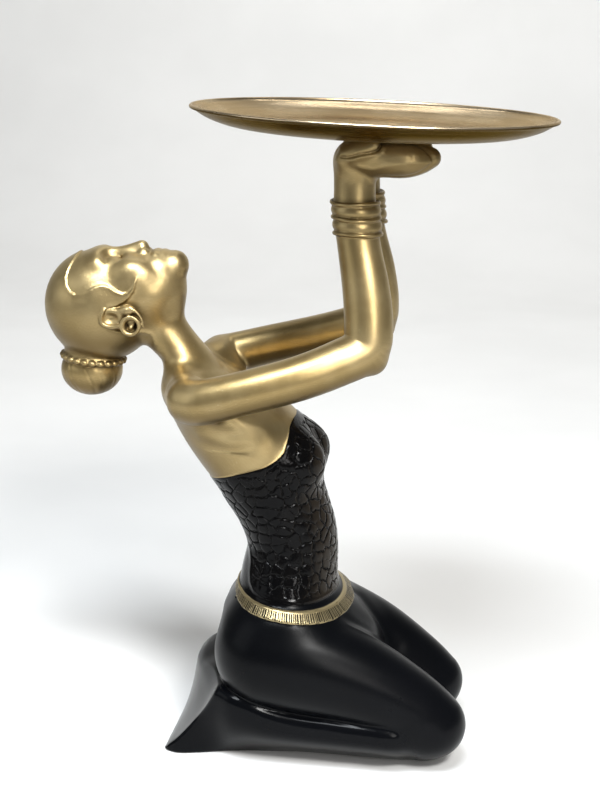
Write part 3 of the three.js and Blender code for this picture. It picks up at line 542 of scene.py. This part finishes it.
def largest(vert, tri):
    """The one body that holds most triangles."""
    label = np.arange(len(vert))
    for _ in range(400):
        m = label[tri].min(1)
        new = label.copy()
        for c in range(3):
            np.minimum.at(new, tri[:, c], m)
        new = new[new]
        if (new == label).all():
            break
        label = new
    name, size = np.unique(label[tri[:, 0]], return_counts=True)
    keep = label[tri[:, 0]] == name[size.argmax()]
    tri = tri[keep]
    used, back = np.unique(tri, return_inverse=True)
    return vert[used], back.reshape(-1, 3)


def normals(vert, tri):
    n = np.cross(vert[tri[:, 1]] - vert[tri[:, 0]], vert[tri[:, 2]] - vert[tri[:, 0]])
    out = np.stack([np.bincount(tri.ravel(), np.repeat(n[:, c], 3), len(vert)) for c in range(3)], -1)
    return out / np.maximum(np.linalg.norm(out, axis=1, keepdims=True), 1e-12)


def mesh_from(name, vert, tri):
    me = bpy.data.meshes.new(name)
    me.vertices.add(len(vert))
    me.vertices.foreach_set("co", np.asarray(vert, F32).ravel())
    me.loops.add(len(tri) * 3)
    me.loops.foreach_set("vertex_index", np.asarray(tri, np.int32).ravel())
    me.polygons.add(len(tri))
    me.polygons.foreach_set("loop_start", np.arange(0, len(tri) * 3, 3, dtype=np.int32))
    me.polygons.foreach_set("use_smooth", np.ones(len(tri), bool))
    me.update(calc_edges=True)
    return me


# ------------------------------------------------------------------ crackle of the bodice
rng = np.random.default_rng(41)


def crackle_seeds():
    rows = []
    z = 117.0
    while z < 243:
        back, front, b = [float(trunk_at(c, np.array([z]))[0]) for c in range(3)]
        cx, a = (back + front) / 2, (front - back) / 2
        around = 2 * math.pi * math.sqrt((a * a + b * b) / 2)
        n = int(around / PLATE_W)
        t = (np.arange(n) + rng.uniform(-0.36, 0.36, n) + rng.uniform()) / n * 2 * math.pi
        zz = z + rng.uniform(-0.36, 0.36, n) * PLATE_H
        rows.append(np.stack([cx + a * np.cos(t), b * np.sin(t), zz], -1))
        z += PLATE_H
    s = np.concatenate(rows)
    for _ in range(4):
        e = 0.4
        d = evaluate(figure, s.astype(F32))
        g = np.stack([evaluate(figure, (s + np.eye(3)[c] * e).astype(F32)) - d for c in range(3)], -1) / e
        s = s - np.clip(d, -6, 6)[:, None] * g / np.maximum((g * g).sum(1), 0.2)[:, None]
    return s


def crackle(p, seeds, tilt):
    """Distance to the nearest groove, strength of that groove, and the height of the plate the point is on."""
    q = p + 0.5 * np.stack([np.sin(p[:, 2] * 0.9 + p[:, 1] * 0.5), np.sin(p[:, 0] * 0.8 + p[:, 2] * 0.6 + 1), np.sin(p[:, 0] * 0.7 + p[:, 1] * 0.8 + 2)], -1)
    gap, strength, lift = np.empty(len(p)), np.empty(len(p)), np.empty(len(p))
    for i in range(0, len(p), 4000):
        c = q[i : i + 4000]
        d2 = ((c[:, None, :] - seeds[None]) ** 2).sum(2)
        two = np.argpartition(d2, 1, axis=1)[:, :2]
        d = np.take_along_axis(d2, two, 1)
        o = np.argsort(d, 1)
        two, d = np.take_along_axis(two, o, 1), np.take_along_axis(d, o, 1)
        a, b = two[:, 0], two[:, 1]
        gap[i : i + 4000] = (d[:, 1] - d[:, 0]) / (2 * np.maximum(np.linalg.norm(seeds[b] - seeds[a], axis=1), 1e-6))
        mix = np.sin((np.minimum(a, b) * 12.9898 + np.maximum(a, b) * 78.233)) * 43758.5453
        mix = mix - np.floor(mix)
        strength[i : i + 4000] = np.where(mix < 0.16, 0.15, 0.55 + 0.45 * mix)
        lift[i : i + 4000] = ((c - seeds[a]) * tilt[a]).sum(1)
    return gap, strength, lift


def bodice_relief(p):
    top, hem = in_bodice(p[:, 0], p[:, 2]), above_hem(p[:, 0], p[:, 2])
    front = step(-15, -9, p[:, 0])                    # the armhole and front edge have a wide plain border
    w = step(1.0 + 3.2 * front, 2.4 + 3.4 * front, top) * step(1.6, 3.4, hem)
    return w * (p[:, 2] > 108) * (p[:, 2] < 243) * (np.abs(p[:, 1]) < 52)


# ------------------------------------------------------------------ make the figure
lo, hi = (-184.33, -93.21, -2.93), (127.4, 92.6, 436.1)
seeds = crackle_seeds()
tilt = rng.normal(0, 0.014, seeds.shape)
vert, tri = skin(figure, lo, hi, STEP)
vert, tri = largest(vert, tri)
print("skin", len(vert), len(tri))

a, b = tri.ravel(), np.roll(tri, -1, 1).ravel()
deg = np.bincount(a, minlength=len(vert))[:, None]
for k in range(6):                                   # even out the steps of the grid, without shrinking
    for weight in (0.5, -0.52):
        mean = np.stack([np.bincount(a, vert[b, c], len(vert)) for c in range(3)], -1) / deg
        vert = vert + weight * (mean - vert)
nrm = normals(vert, tri)
w = bodice_relief(vert)
on = np.flatnonzero(w > 0.001)
gap, strength, lift = crackle(vert[on], seeds, tilt)
push = np.zeros(len(vert))
push[on] = w[on] * (np.clip(lift, -0.15, 0.15) - 0.55 * strength * (1 - step(0.1, 0.6, gap)) + 0.12 * step(0.5, 2.0, gap))


# arc length round the belt, by angle about the trunk's middle
belt_angle = np.linspace(-math.pi, math.pi, 1441)
_r = np.full(belt_angle.shape, 40.0)
_bx = -7.0
for _ in range(40):
    _z = 110.2 - BELT["tip"] * (_bx + _r * np.cos(belt_angle))
    _d = evaluate(figure, np.stack([_bx + _r * np.cos(belt_angle), _r * np.sin(belt_angle), _z], -1).astype(F32))
    _r = _r - 0.8 * _d
_pts = np.stack([_r * np.cos(belt_angle), _r * np.sin(belt_angle)], -1)
belt_arc = np.concatenate([[0], np.cumsum(np.linalg.norm(np.diff(_pts, axis=0), axis=1))])
BELT_LENGTH = round(belt_arc[-1] / HATCH) * HATCH
belt_arc *= BELT_LENGTH / belt_arc[-1]


def arc_of(p):
    return np.interp(np.arctan2(p[:, 1], p[:, 0] - _bx), belt_angle, belt_arc)


def hatch_phase(u):
    k = 2 * math.pi / BELT_LENGTH
    return u / HATCH + 0.16 * np.sin(u * k * 37) + 0.10 * np.sin(u * k * 83 + 1)


def belt_band(p):
    """How far up the belt's band a point is: 0 at the lower edge, 1 at the upper."""
    return (belt_height(p[:, 0], p[:, 2]) - BELT["low"]) / (BELT["high"] - BELT["low"])


v_band = belt_band(vert)
on = np.flatnonzero((v_band > -0.1) & (v_band < 1.1) & (vert[:, 2] < 124))
ph = hatch_phase(arc_of(vert[on]))
line = np.abs(ph - np.floor(ph) - 0.5) * HATCH
vb = v_band[on]
push[on] += -0.15 * (1 - step(0.12, 0.5, line)) * step(0.03, 0.12, vb) * step(0.86, 0.78, vb) + 0.35 * np.exp(-(((vb - 0.92) / 0.06) ** 2))
vert = vert + nrm * push[:, None]
vert[:, 2] = np.maximum(vert[:, 2], 0)

src = mesh_from("figure_full", vert, tri)
tmp = bpy.data.objects.new("figure_full", src)
bpy.context.scene.collection.objects.link(tmp)
dec = tmp.modifiers.new("thin", "DECIMATE")
dec.ratio = FIGURE_FACES / len(tri)
dec.use_collapse_triangulate = True
thin = bpy.data.meshes.new_from_object(tmp.evaluated_get(bpy.context.evaluated_depsgraph_get()))
bpy.data.objects.remove(tmp)
bpy.data.meshes.remove(src)
thin.validate()                                      # drops the few folded faces before anything is measured on them


def one_skin(mesh):
    """Takes out slivers that thinning drew across the inside, and any speck not joined to the one skin."""
    bm = bmesh.new()
    bm.from_mesh(mesh)
    long = [f for f in bm.faces if max(v.co.z for v in f.verts) > 1 and max(e.calc_length() for e in f.edges) > 30]
    bmesh.ops.delete(bm, geom=long, context="FACES")
    patch = bmesh.ops.holes_fill(bm, edges=[e for e in bm.edges if e.is_boundary], sides=8)["faces"]
    bmesh.ops.triangulate(bm, faces=patch)
    seen, specks = set(), []
    for first in bm.faces:
        if first in seen:
            continue
        seen.add(first)
        todo, island = [first], []
        while todo:
            f = todo.pop()
            island.append(f)
            for e in f.edges:
                if len(e.link_faces) == 2:
                    for o in e.link_faces:
                        if o not in seen:
                            seen.add(o)
                            todo.append(o)
        if len(island) < 1000:
            specks += island
    bmesh.ops.delete(bm, geom=specks, context="FACES")
    bm.to_mesh(mesh)
    bm.free()


one_skin(thin)
n = len(thin.vertices)
vert = np.empty(n * 3, F32)
thin.vertices.foreach_get("co", vert)
vert = vert.reshape(-1, 3)
tri = np.empty(len(thin.loops), np.int32)
thin.loops.foreach_get("vertex_index", tri)
tri = tri.reshape(-1, 3)
print("thinned", len(vert), len(tri))

# ------------------------------------------------------------------ what the paint follows
nrm = normals(vert.astype(float), tri)
P = vert.astype(float)
# how enclosed each point is, from the field a little way out along the normal: it paints shade into the gold's hollows
# and creases
near_field = evaluate(figure, (P + nrm * 3.0).astype(F32)) / 3.0
far_field = evaluate(figure, (P + nrm * 9.0).astype(F32)) / 9.0
hollow = np.clip(1 - near_field, 0, 1) * 0.6 + np.clip(1 - far_field, 0, 1) * 0.4
w = bodice_relief(P)
on = np.flatnonzero(w > 0.001)
g, s, _l = crackle(P[on], seeds, tilt)
crack = np.full(n, 3.0)                              # millimetres to the nearest crack, faint ones further
crack[on] = np.minimum(g + 0.5 * (1 - s), 3.0) + 3 * (1 - w[on])
vb = belt_band(P)
band_mm = np.minimum(vb, 1 - vb) * (BELT["high"] - BELT["low"]) * 1.25
band_mm = np.where(P[:, 2] < 128, band_mm, -9)
skin_mm = -in_bodice(P[:, 0], P[:, 2])
skin_mm = np.where(P[:, 2] > 180, skin_mm, -9)
paint = np.clip(np.maximum(band_mm, skin_mm), -9, 9)         # positive where gold, negative where black
u_arc = arc_of(P)

me = mesh_from("figure", (vert + np.array([SHIFT_X, 0, 0], F32)) / 1000, tri)


def attribute(name, values, domain="POINT"):
    a = me.attributes.new(name, "FLOAT", domain)
    a.data.foreach_set("value", np.asarray(values, F32))


attribute("paint", paint)
attribute("hollow", hollow)
attribute("crack", np.minimum(crack, 3.0))
ledge = np.zeros(n)
low = np.flatnonzero(P[:, 2] < 62)
gap_to = evaluate(lambda x, y, z: smin(thigh_near(x, -y, z), thigh_far(x, y, z), 16) - block(x, y, z), P[low].astype(F32))
ledge[low] = np.clip(0.5 + gap_to / 1.2, 0, 1)
attribute("ledge", ledge)
attribute("band", vb)
corner = u_arc[tri]
wrap = (corner.max(1) - corner.min(1)) > BELT_LENGTH / 2
corner[wrap] = np.where(corner[wrap] < BELT_LENGTH / 2, corner[wrap] + BELT_LENGTH, corner[wrap])
attribute("arc", corner.ravel(), "CORNER")
bpy.data.meshes.remove(thin)
figure_obj = bpy.data.objects.new("figure", me) if "figure" not in bpy.data.objects else bpy.data.objects.new("figure_look", me)
bpy.context.scene.collection.objects.link(figure_obj)
figure_obj.name = "kneeling_figure"


# ------------------------------------------------------------------ tray: spun sheet with a rolled lip
def tray_profile():
    """Closed section from the middle of the underside, out, round the lip and back to the middle of the floor."""
    bottom, top = -TRAY_DEPTH, -TRAY_DEPTH + TRAY_WALL
    wall = [(0, 0), (0.2, 0.035), (0.4, 0.13), (0.6, 0.3), (0.8, 0.56), (0.93, 0.81), (1, 0.96)]
    fine = np.linspace(0, 1, 22)
    curve = table(wall, 0.01)
    r_out = TRAY_R - 0.4
    p = [(0.0, bottom)] + [(FLOOR_R * k / 8, bottom) for k in range(1, 8)]
    p += [(FLOOR_R + (r_out - FLOOR_R) * u, bottom + float(curve(0, np.array([u]))[0]) * (TRAY_DEPTH - 0.4)) for u in fine]
    p += [(TRAY_R + LIP_R * math.cos(math.radians(a)), LIP_R * math.sin(math.radians(a))) for a in range(-60, 200, 20)]
    p += [(FLOOR_R - 0.6 + (r_out - 1.4 - FLOOR_R) * u, top + float(curve(0, np.array([u]))[0]) * (TRAY_DEPTH - 0.4 - TRAY_WALL * 0.6)) for u in fine[::-1][1:]]
    # fine turning steps on the floor
    for k in range(26, 0, -1):
        p.append(((FLOOR_R - 0.6) * k / 27, top + (0.06 if k % 2 else -0.02)))
    p.append((0.0, top))
    return p


def lathe(name, profile, around):
    verts, faces, rings = [], [], []
    for r, z in profile:
        if r == 0:
            rings.append([len(verts)])
            verts.append((0, 0, z))
        else:
            rings.append(list(range(len(verts), len(verts) + around)))
            verts += [(r * math.cos(2 * math.pi * i / around), r * math.sin(2 * math.pi * i / around), z) for i in range(around)]
    for a, b in zip(rings[:-1], rings[1:]):
        for i in range(around):
            j = (i + 1) % around
            if len(a) == 1:
                faces.append((a[0], b[i], b[j]))
            elif len(b) == 1:
                faces.append((a[i], b[0], a[j]))
            else:
                faces.append((a[i], b[i], b[j], a[j]))
    m = bpy.data.meshes.new(name)
    c, s = math.cos(TRAY_TILT), math.sin(TRAY_TILT)
    m.from_pydata([((x * c + z * s + TRAY_X + SHIFT_X) / 1000, y / 1000, (-x * s + z * c + TRAY_Z) / 1000) for x, y, z in verts], [], faces)
    m.polygons.foreach_set("use_smooth", np.ones(len(m.polygons), bool))
    m.update()
    o = bpy.data.objects.new(name, m)
    bpy.context.scene.collection.objects.link(o)
    return o


tray_obj = lathe("round_tray", tray_profile(), 288)
_bm = bmesh.new()
_bm.from_mesh(tray_obj.data)
bmesh.ops.recalc_face_normals(_bm, faces=_bm.faces)
_bm.to_mesh(tray_obj.data)
_bm.free()


# ------------------------------------------------------------------ materials
class Nodes:
    """Short names for building a node tree."""

    def __init__(self, name):
        self.mat = bpy.data.materials.new(name)
        self.mat.use_nodes = True
        self.t = self.mat.node_tree
        self.bsdf = self.t.nodes["Principled BSDF"]

    def new(self, kind, **kw):
        n = self.t.nodes.new(kind)
        for k, v in kw.items():
            setattr(n, k, v)
        return n

    def put(self, socket, value):
        if hasattr(value, "links"):
            self.t.links.new(value, socket)
        else:
            socket.default_value = value

    def math(self, op, a, b=0.0, c=None, clamp=False):
        n = self.new("ShaderNodeMath", operation=op, use_clamp=clamp)
        self.put(n.inputs[0], a)
        self.put(n.inputs[1], b)
        if c is not None:
            self.put(n.inputs[2], c)
        return n.outputs[0]

    def attr(self, name):
        return self.new("ShaderNodeAttribute", attribute_name=name).outputs["Fac"]

    def ramp(self, value, a, b, lo=0.0, hi=1.0, smooth=True):
        n = self.new("ShaderNodeMapRange", interpolation_type="SMOOTHSTEP" if smooth else "LINEAR", clamp=True)
        for i, v in enumerate((value, a, b, lo, hi)):
            self.put(n.inputs[i], v)
        return n.outputs[0]

    def noise(self, scale, detail=3.0, rough=0.55, vector=None, distort=0.0):
        n = self.new("ShaderNodeTexNoise")
        n.inputs["Scale"].default_value = scale
        n.inputs["Detail"].default_value = detail
        n.inputs["Roughness"].default_value = rough
        n.inputs["Distortion"].default_value = distort
        self.put(n.inputs["Vector"], vector or self.coords())
        return n.outputs["Fac"]

    def coords(self):
        return self.new("ShaderNodeTexCoord").outputs["Object"]

    def mix(self, fac, a, b):
        n = self.new("ShaderNodeMix", data_type="RGBA")
        self.put(n.inputs["Factor"], fac)
        self.put(n.inputs["A"], a)
        self.put(n.inputs["B"], b)
        return n.outputs["Result"]

    def blend(self, fac, a, b):
        n = self.new("ShaderNodeMix", data_type="FLOAT")
        self.put(n.inputs["Factor"], fac)
        self.put(n.inputs["A"], a)
        self.put(n.inputs["B"], b)
        return n.outputs["Result"]

    def bump(self, height, strength, distance, normal=None):
        n = self.new("ShaderNodeBump")
        n.inputs["Strength"].default_value = strength
        n.inputs["Distance"].default_value = distance
        self.put(n.inputs["Height"], height)
        if normal:
            self.put(n.inputs["Normal"], normal)
        return n.outputs["Normal"]


def srgb(r, g, b):
    f = lambda c: (c / 255 / 12.92) if c / 255 <= 0.04045 else ((c / 255 + 0.055) / 1.055) ** 2.4
    return (f(r), f(g), f(b), 1)


def figure_material():
    m = Nodes("painted_resin")
    xyz = m.coords()
    sep = m.new("ShaderNodeSeparateXYZ")
    m.put(sep.inputs[0], xyz)
    height = sep.outputs["Z"]
    gold = m.ramp(m.attr("paint"), -0.12, 0.12)
    hollow, band = m.attr("hollow"), m.attr("band")
    groove = m.math("SUBTRACT", 1.0, m.ramp(m.attr("crack"), 0.18, 0.5))
    # fringe lines of the belt: same phase as the carved grooves
    arc = m.attr("arc")
    k = 2 * math.pi / BELT_LENGTH
    ph = m.math("ADD", m.math("DIVIDE", arc, HATCH), m.math("MULTIPLY", m.math("SINE", m.math("MULTIPLY", arc, k * 37)), 0.16))
    ph = m.math("ADD", ph, m.math("MULTIPLY", m.math("SINE", m.math("ADD", m.math("MULTIPLY", arc, k * 83), 1.0)), 0.10))
    frac = m.math("FRACT", ph)
    off = m.math("MULTIPLY", m.math("ABSOLUTE", m.math("SUBTRACT", frac, 0.5)), HATCH)
    rnd = m.math("FRACT", m.math("MULTIPLY", m.math("SINE", m.math("MULTIPLY", m.math("FLOOR", ph), 12.9898)), 43758.5453))
    width = m.math("MULTIPLY_ADD", rnd, 0.28, 0.30)
    line = m.math("SUBTRACT", 1.0, m.ramp(m.math("DIVIDE", off, width), 0.7, 1.25))
    low = m.math("MULTIPLY", m.math("FRACT", m.math("MULTIPLY", rnd, 7.31)), 0.22)
    line = m.math("MULTIPLY", line, m.ramp(m.math("SUBTRACT", band, low), 0.0, 0.06))
    line = m.math("MULTIPLY", line, m.ramp(band, 0.86, 0.80))
    in_band = m.math("MULTIPLY", m.ramp(band, -0.05, 0.0), m.ramp(band, 1.05, 1.0))
    line = m.math("MULTIPLY", line, m.math("MULTIPLY", in_band, m.ramp(height, 0.128, 0.126)))
    gold = m.math("MULTIPLY", gold, m.math("SUBTRACT", 1.0, m.math("MULTIPLY", line, 0.97)))

    big, mid, fine = m.noise(9.0, 4), m.noise(55.0, 4), m.noise(420.0, 3)
    # gold paint: tone varies at random, brighter where it is rubbed, with painted shade, a dark olive, in the hollows
    # and creases
    tone = m.math("MULTIPLY_ADD", m.math("SUBTRACT", big, 0.5), 0.9, 0.5)
    tone = m.math("MULTIPLY_ADD", m.math("SUBTRACT", mid, 0.5), 0.45, tone)
    g = m.mix(m.ramp(tone, 0.25, 0.75), srgb(158, 136, 90), srgb(192, 171, 126))
    # painted shade: the more enclosed a point is, the darker olive its gold
    g = m.mix(m.ramp(hollow, 0.15, 0.75, 0.0, 0.65), g, srgb(84, 66, 34))
    g = m.mix(m.ramp(fine, 0.66, 0.78, 0.0, 0.35), g, srgb(222, 208, 168))
    # painted shade: the surfaces facing down are painted a darker brown gold; the belt is the palest gold
    geo = m.new("ShaderNodeNewGeometry")
    down = m.new("ShaderNodeSeparateXYZ")
    m.put(down.inputs[0], geo.outputs["True Normal"])
    # painted shade: undersides mixed towards dark brown gold by how far the normal points down
    g = m.mix(m.ramp(down.outputs["Z"], 0.25, -0.5, 0.0, 0.76), g, srgb(80, 64, 37))
    g = m.mix(m.math("MULTIPLY", in_band, m.ramp(height, 0.128, 0.126)), g, srgb(164, 149, 112))
    # black paint: blue-black on the skirt; the crackle plates facing forward get a painted reflection, a lighter brown
    skirt = m.ramp(height, 0.1175, 0.1145)
    b = m.mix(skirt, m.mix(m.ramp(mid, 0.35, 0.7), srgb(6, 6, 7), srgb(11, 10, 10)), m.mix(m.ramp(big, 0.3, 0.7), srgb(5, 6, 8), srgb(9, 10, 13)))
    # painted reflection: crackle plates that face forward are painted lighter brown, their cracks left dark
    front = m.math("MULTIPLY", m.ramp(down.outputs["X"], 0.5, 0.95), m.math("SUBTRACT", 1.0, skirt))
    b = m.mix(m.math("MULTIPLY", front, m.ramp(m.attr("crack"), 0.3, 0.8)), b, srgb(42, 37, 31))
    b = m.mix(m.math("MULTIPLY", groove, 0.9), b, srgb(2, 2, 2))
    ledge = m.attr("ledge")
    m.put(m.bsdf.inputs["Base Color"], m.mix(gold, b, g))
    m.put(m.bsdf.inputs["Metallic"], m.math("MULTIPLY", gold, 0.88))
    m.bsdf.inputs["Specular IOR Level"].default_value = 0.095
    rg = m.math("ADD", m.math("MULTIPLY_ADD", m.math("SUBTRACT", mid, 0.5), 0.14, 0.36), m.math("MULTIPLY", hollow, 0.12))
    rb = m.blend(skirt, m.math("MULTIPLY_ADD", m.math("SUBTRACT", mid, 0.5), 0.08, 0.115), m.math("MULTIPLY_ADD", m.math("SUBTRACT", mid, 0.5), 0.08, 0.29))
    rb = m.math("SUBTRACT", m.math("ADD", rb, m.math("MULTIPLY", groove, 0.12)), m.math("MULTIPLY", ledge, 0.12))
    m.put(m.bsdf.inputs["Roughness"], m.blend(gold, rb, rg))
    # paint texture: soft ripples, and fine grit on the gold
    grit = m.math("MULTIPLY", m.ramp(m.noise(900.0, 2), 0.55, 0.8), m.math("MULTIPLY", gold, 0.5))
    h = m.math("ADD", m.math("MULTIPLY", m.noise(120.0, 3), 0.35), grit)
    h = m.math("SUBTRACT", h, m.math("MULTIPLY", line, 0.5))
    h = m.math("SUBTRACT", h, m.math("MULTIPLY", groove, 2.2))
    h = m.math("ADD", h, m.math("MULTIPLY", m.ramp(m.attr("crack"), 0.35, 0.95, smooth=False), 3.2))
    wrinkle = m.new("ShaderNodeTexVoronoi")
    wrinkle.feature = "DISTANCE_TO_EDGE"
    wrinkle.inputs["Scale"].default_value = 230.0
    m.put(wrinkle.inputs["Vector"], xyz)
    shell = m.math("MULTIPLY", m.math("SUBTRACT", 1.0, gold), m.ramp(height, 0.118, 0.121))
    h = m.math("SUBTRACT", h, m.math("MULTIPLY", m.math("SUBTRACT", 1.0, m.ramp(wrinkle.outputs["Distance"], 0.0, 0.16)), m.math("MULTIPLY", shell, 0.25)))
    m.put(m.bsdf.inputs["Normal"], m.bump(h, 0.35, 0.0003))
    return m.mat


def tray_material():
    m = Nodes("tray_metal")
    xyz = m.coords()
    shift = m.new("ShaderNodeMapping")
    shift.inputs["Location"].default_value = (-(TRAY_X + SHIFT_X) / 1000, 0, -TRAY_Z / 1000)
    m.put(shift.inputs["Vector"], xyz)
    sep = m.new("ShaderNodeSeparateXYZ")
    m.put(sep.inputs[0], shift.outputs[0])
    x, y = sep.outputs["X"], sep.outputs["Y"]
    r = m.math("SQRT", m.math("ADD", m.math("MULTIPLY", x, x), m.math("MULTIPLY", y, y)))
    # turning marks: noise that changes fast outwards and slowly round
    comb = m.new("ShaderNodeCombineXYZ")
    m.put(comb.inputs[0], m.math("MULTIPLY", r, 1.0))
    m.put(comb.inputs[1], m.math("MULTIPLY", x, 0.03))
    m.put(comb.inputs[2], m.math("MULTIPLY", y, 0.03))
    rings, rings_fine = m.noise(260.0, 4, 0.6, comb.outputs[0]), m.noise(1400.0, 2, 0.6, comb.outputs[0])
    blotch = m.noise(14.0, 4)
    c = m.mix(m.ramp(m.math("MULTIPLY_ADD", m.math("SUBTRACT", rings, 0.5), 0.8, blotch), 0.3, 0.7), srgb(204, 182, 148), srgb(230, 211, 180))
    c = m.mix(m.ramp(m.noise(40.0, 5), 0.62, 0.8, 0.0, 0.4), c, srgb(104, 90, 62))
    # painted shade: the underside, facing down, is painted darker and browner than the polished inside
    geo = m.new("ShaderNodeNewGeometry")
    nz = m.new("ShaderNodeSeparateXYZ")
    m.put(nz.inputs[0], geo.outputs["True Normal"])
    c = m.mix(m.ramp(nz.outputs["Z"], 0.05, -0.05), c, m.mix(m.ramp(rings, 0.3, 0.7), srgb(66, 53, 34), srgb(92, 76, 51)))
    m.put(m.bsdf.inputs["Base Color"], c)
    m.bsdf.inputs["Metallic"].default_value = 1.0
    m.bsdf.inputs["Specular Tint"].default_value = (0.6, 0.53, 0.42, 1)
    m.put(m.bsdf.inputs["Roughness"], m.math("ADD", m.math("MULTIPLY_ADD", m.math("SUBTRACT", blotch, 0.5), 0.2, 0.27), m.math("MULTIPLY", m.math("SUBTRACT", rings_fine, 0.5), 0.14)))
    m.put(m.bsdf.inputs["Normal"], m.bump(m.math("ADD", rings, m.math("MULTIPLY", rings_fine, 0.5)), 0.25, 0.0002))
    return m.mat


def floor_material():
    m = Nodes("studio_paper")
    m.put(m.bsdf.inputs["Base Color"], m.mix(m.ramp(m.noise(3.0, 3), 0.3, 0.7), (0.86, 0.86, 0.85, 1), (0.9, 0.9, 0.89, 1)))
    m.bsdf.inputs["Roughness"].default_value = 0.85
    return m.mat


figure_obj.data.materials.append(figure_material())
tray_obj.data.materials.append(tray_material())
for o, node, name in ((figure_obj, "figure", "painted_resin"), (tray_obj, "tray", "tray_metal")):
    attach(o, "root")
    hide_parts(node)

# ------------------------------------------------------------------ floor, light, camera
bpy.context.scene.view_settings.view_transform = "Standard"


def paper_sweep():
    """Pale studio paper: flat under the object, curving up behind it."""
    prof = [(-3.0, 0.0), (1.6, 0.0)] + [(1.6 + 0.9 * math.sin(a * math.pi / 32), 0.9 - 0.9 * math.cos(a * math.pi / 32)) for a in range(1, 17)] + [(2.5, 3.5)]
    verts = [(x, y, z - 0.0005) for x in (-4, 4) for y, z in prof]
    k = len(prof)
    m = bpy.data.meshes.new("studio_paper")
    m.from_pydata(verts, [], [(i, i + k, i + k + 1, i + 1) for i in range(k - 1)])
    m.polygons.foreach_set("use_smooth", np.ones(len(m.polygons), bool))
    o = bpy.data.objects.new("studio_floor", m)
    bpy.context.scene.collection.objects.link(o)
    return o


floor = paper_sweep()
floor.data.materials.append(floor_material())

world = bpy.data.worlds.new("studio")
bpy.context.scene.world = world
world.use_nodes = True
world.node_tree.nodes["Background"].inputs["Color"].default_value = (1.0, 0.98, 0.95, 1)
world.node_tree.nodes["Background"].inputs["Strength"].default_value = 0.13


def lamp(name, place, target, size, power, colour=(1, 1, 1), size_y=None):
    data = bpy.data.lights.new(name, "AREA")
    data.shape = "RECTANGLE"
    data.size, data.size_y = size, size_y or size
    data.energy = power
    data.color = colour
    o = bpy.data.objects.new(name, data)
    o.location = place
    o.rotation_euler = (Vector(target) - Vector(place)).to_track_quat("-Z", "Y").to_euler()
    bpy.context.scene.collection.objects.link(o)
    return o


lamp("key", (0.58, -0.90, 1.24), (0, 0, 0.25), 0.34, 17, (1, 0.99, 0.97), 0.26)
lamp("overhead", (-0.08, -0.58, 1.45), (0, 0, 0.25), 0.66, 22, (0.9, 0.95, 1), 0.36)
lamp("front", (0.8, -1.35, 0.8), (0, 0, 0.3), 0.3, 6, (1, 0.98, 0.95), 0.7)
lamp("fill", (-1.4, -0.6, 0.8), (0, 0, 0.25), 1.0, 3, (0.93, 0.97, 1))
lamp("wall", (0.0, 1.0, 1.9), (0, 2.3, 0.6), 1.8, 20, (1, 0.99, 0.97), 0.5)

# camera: fitted to the photograph (pinhole, 1400 pixels on an 800 pixel side)
PSI, PITCH, ROLL = math.radians(6.0), math.radians(15.45), math.radians(1.0)
cam_data = bpy.data.cameras.new("camera")
cam_data.lens = 36 * 1400 / 800
cam_data.sensor_width = 36
cam_data.clip_start, cam_data.clip_end = 0.05, 30
camera = bpy.data.objects.new("camera", cam_data)
bpy.context.scene.collection.objects.link(camera)
fw = Vector((-math.sin(PSI) * math.cos(PITCH), math.cos(PSI) * math.cos(PITCH), -math.sin(PITCH)))
rt = Vector((math.cos(PSI), math.sin(PSI), 0))
up = rt.cross(fw)
right = rt * math.cos(ROLL) + up * math.sin(ROLL)
upward = up * math.cos(ROLL) - rt * math.sin(ROLL)
rot = Matrix((right, upward, -fw)).transposed()
camera.matrix_world = Matrix.Translation(((93.8 + SHIFT_X) / 1000, -0.9214, 0.5044)) @ rot.to_4x4()
bpy.context.scene.camera = camera

bpy.context.view_layer.update()
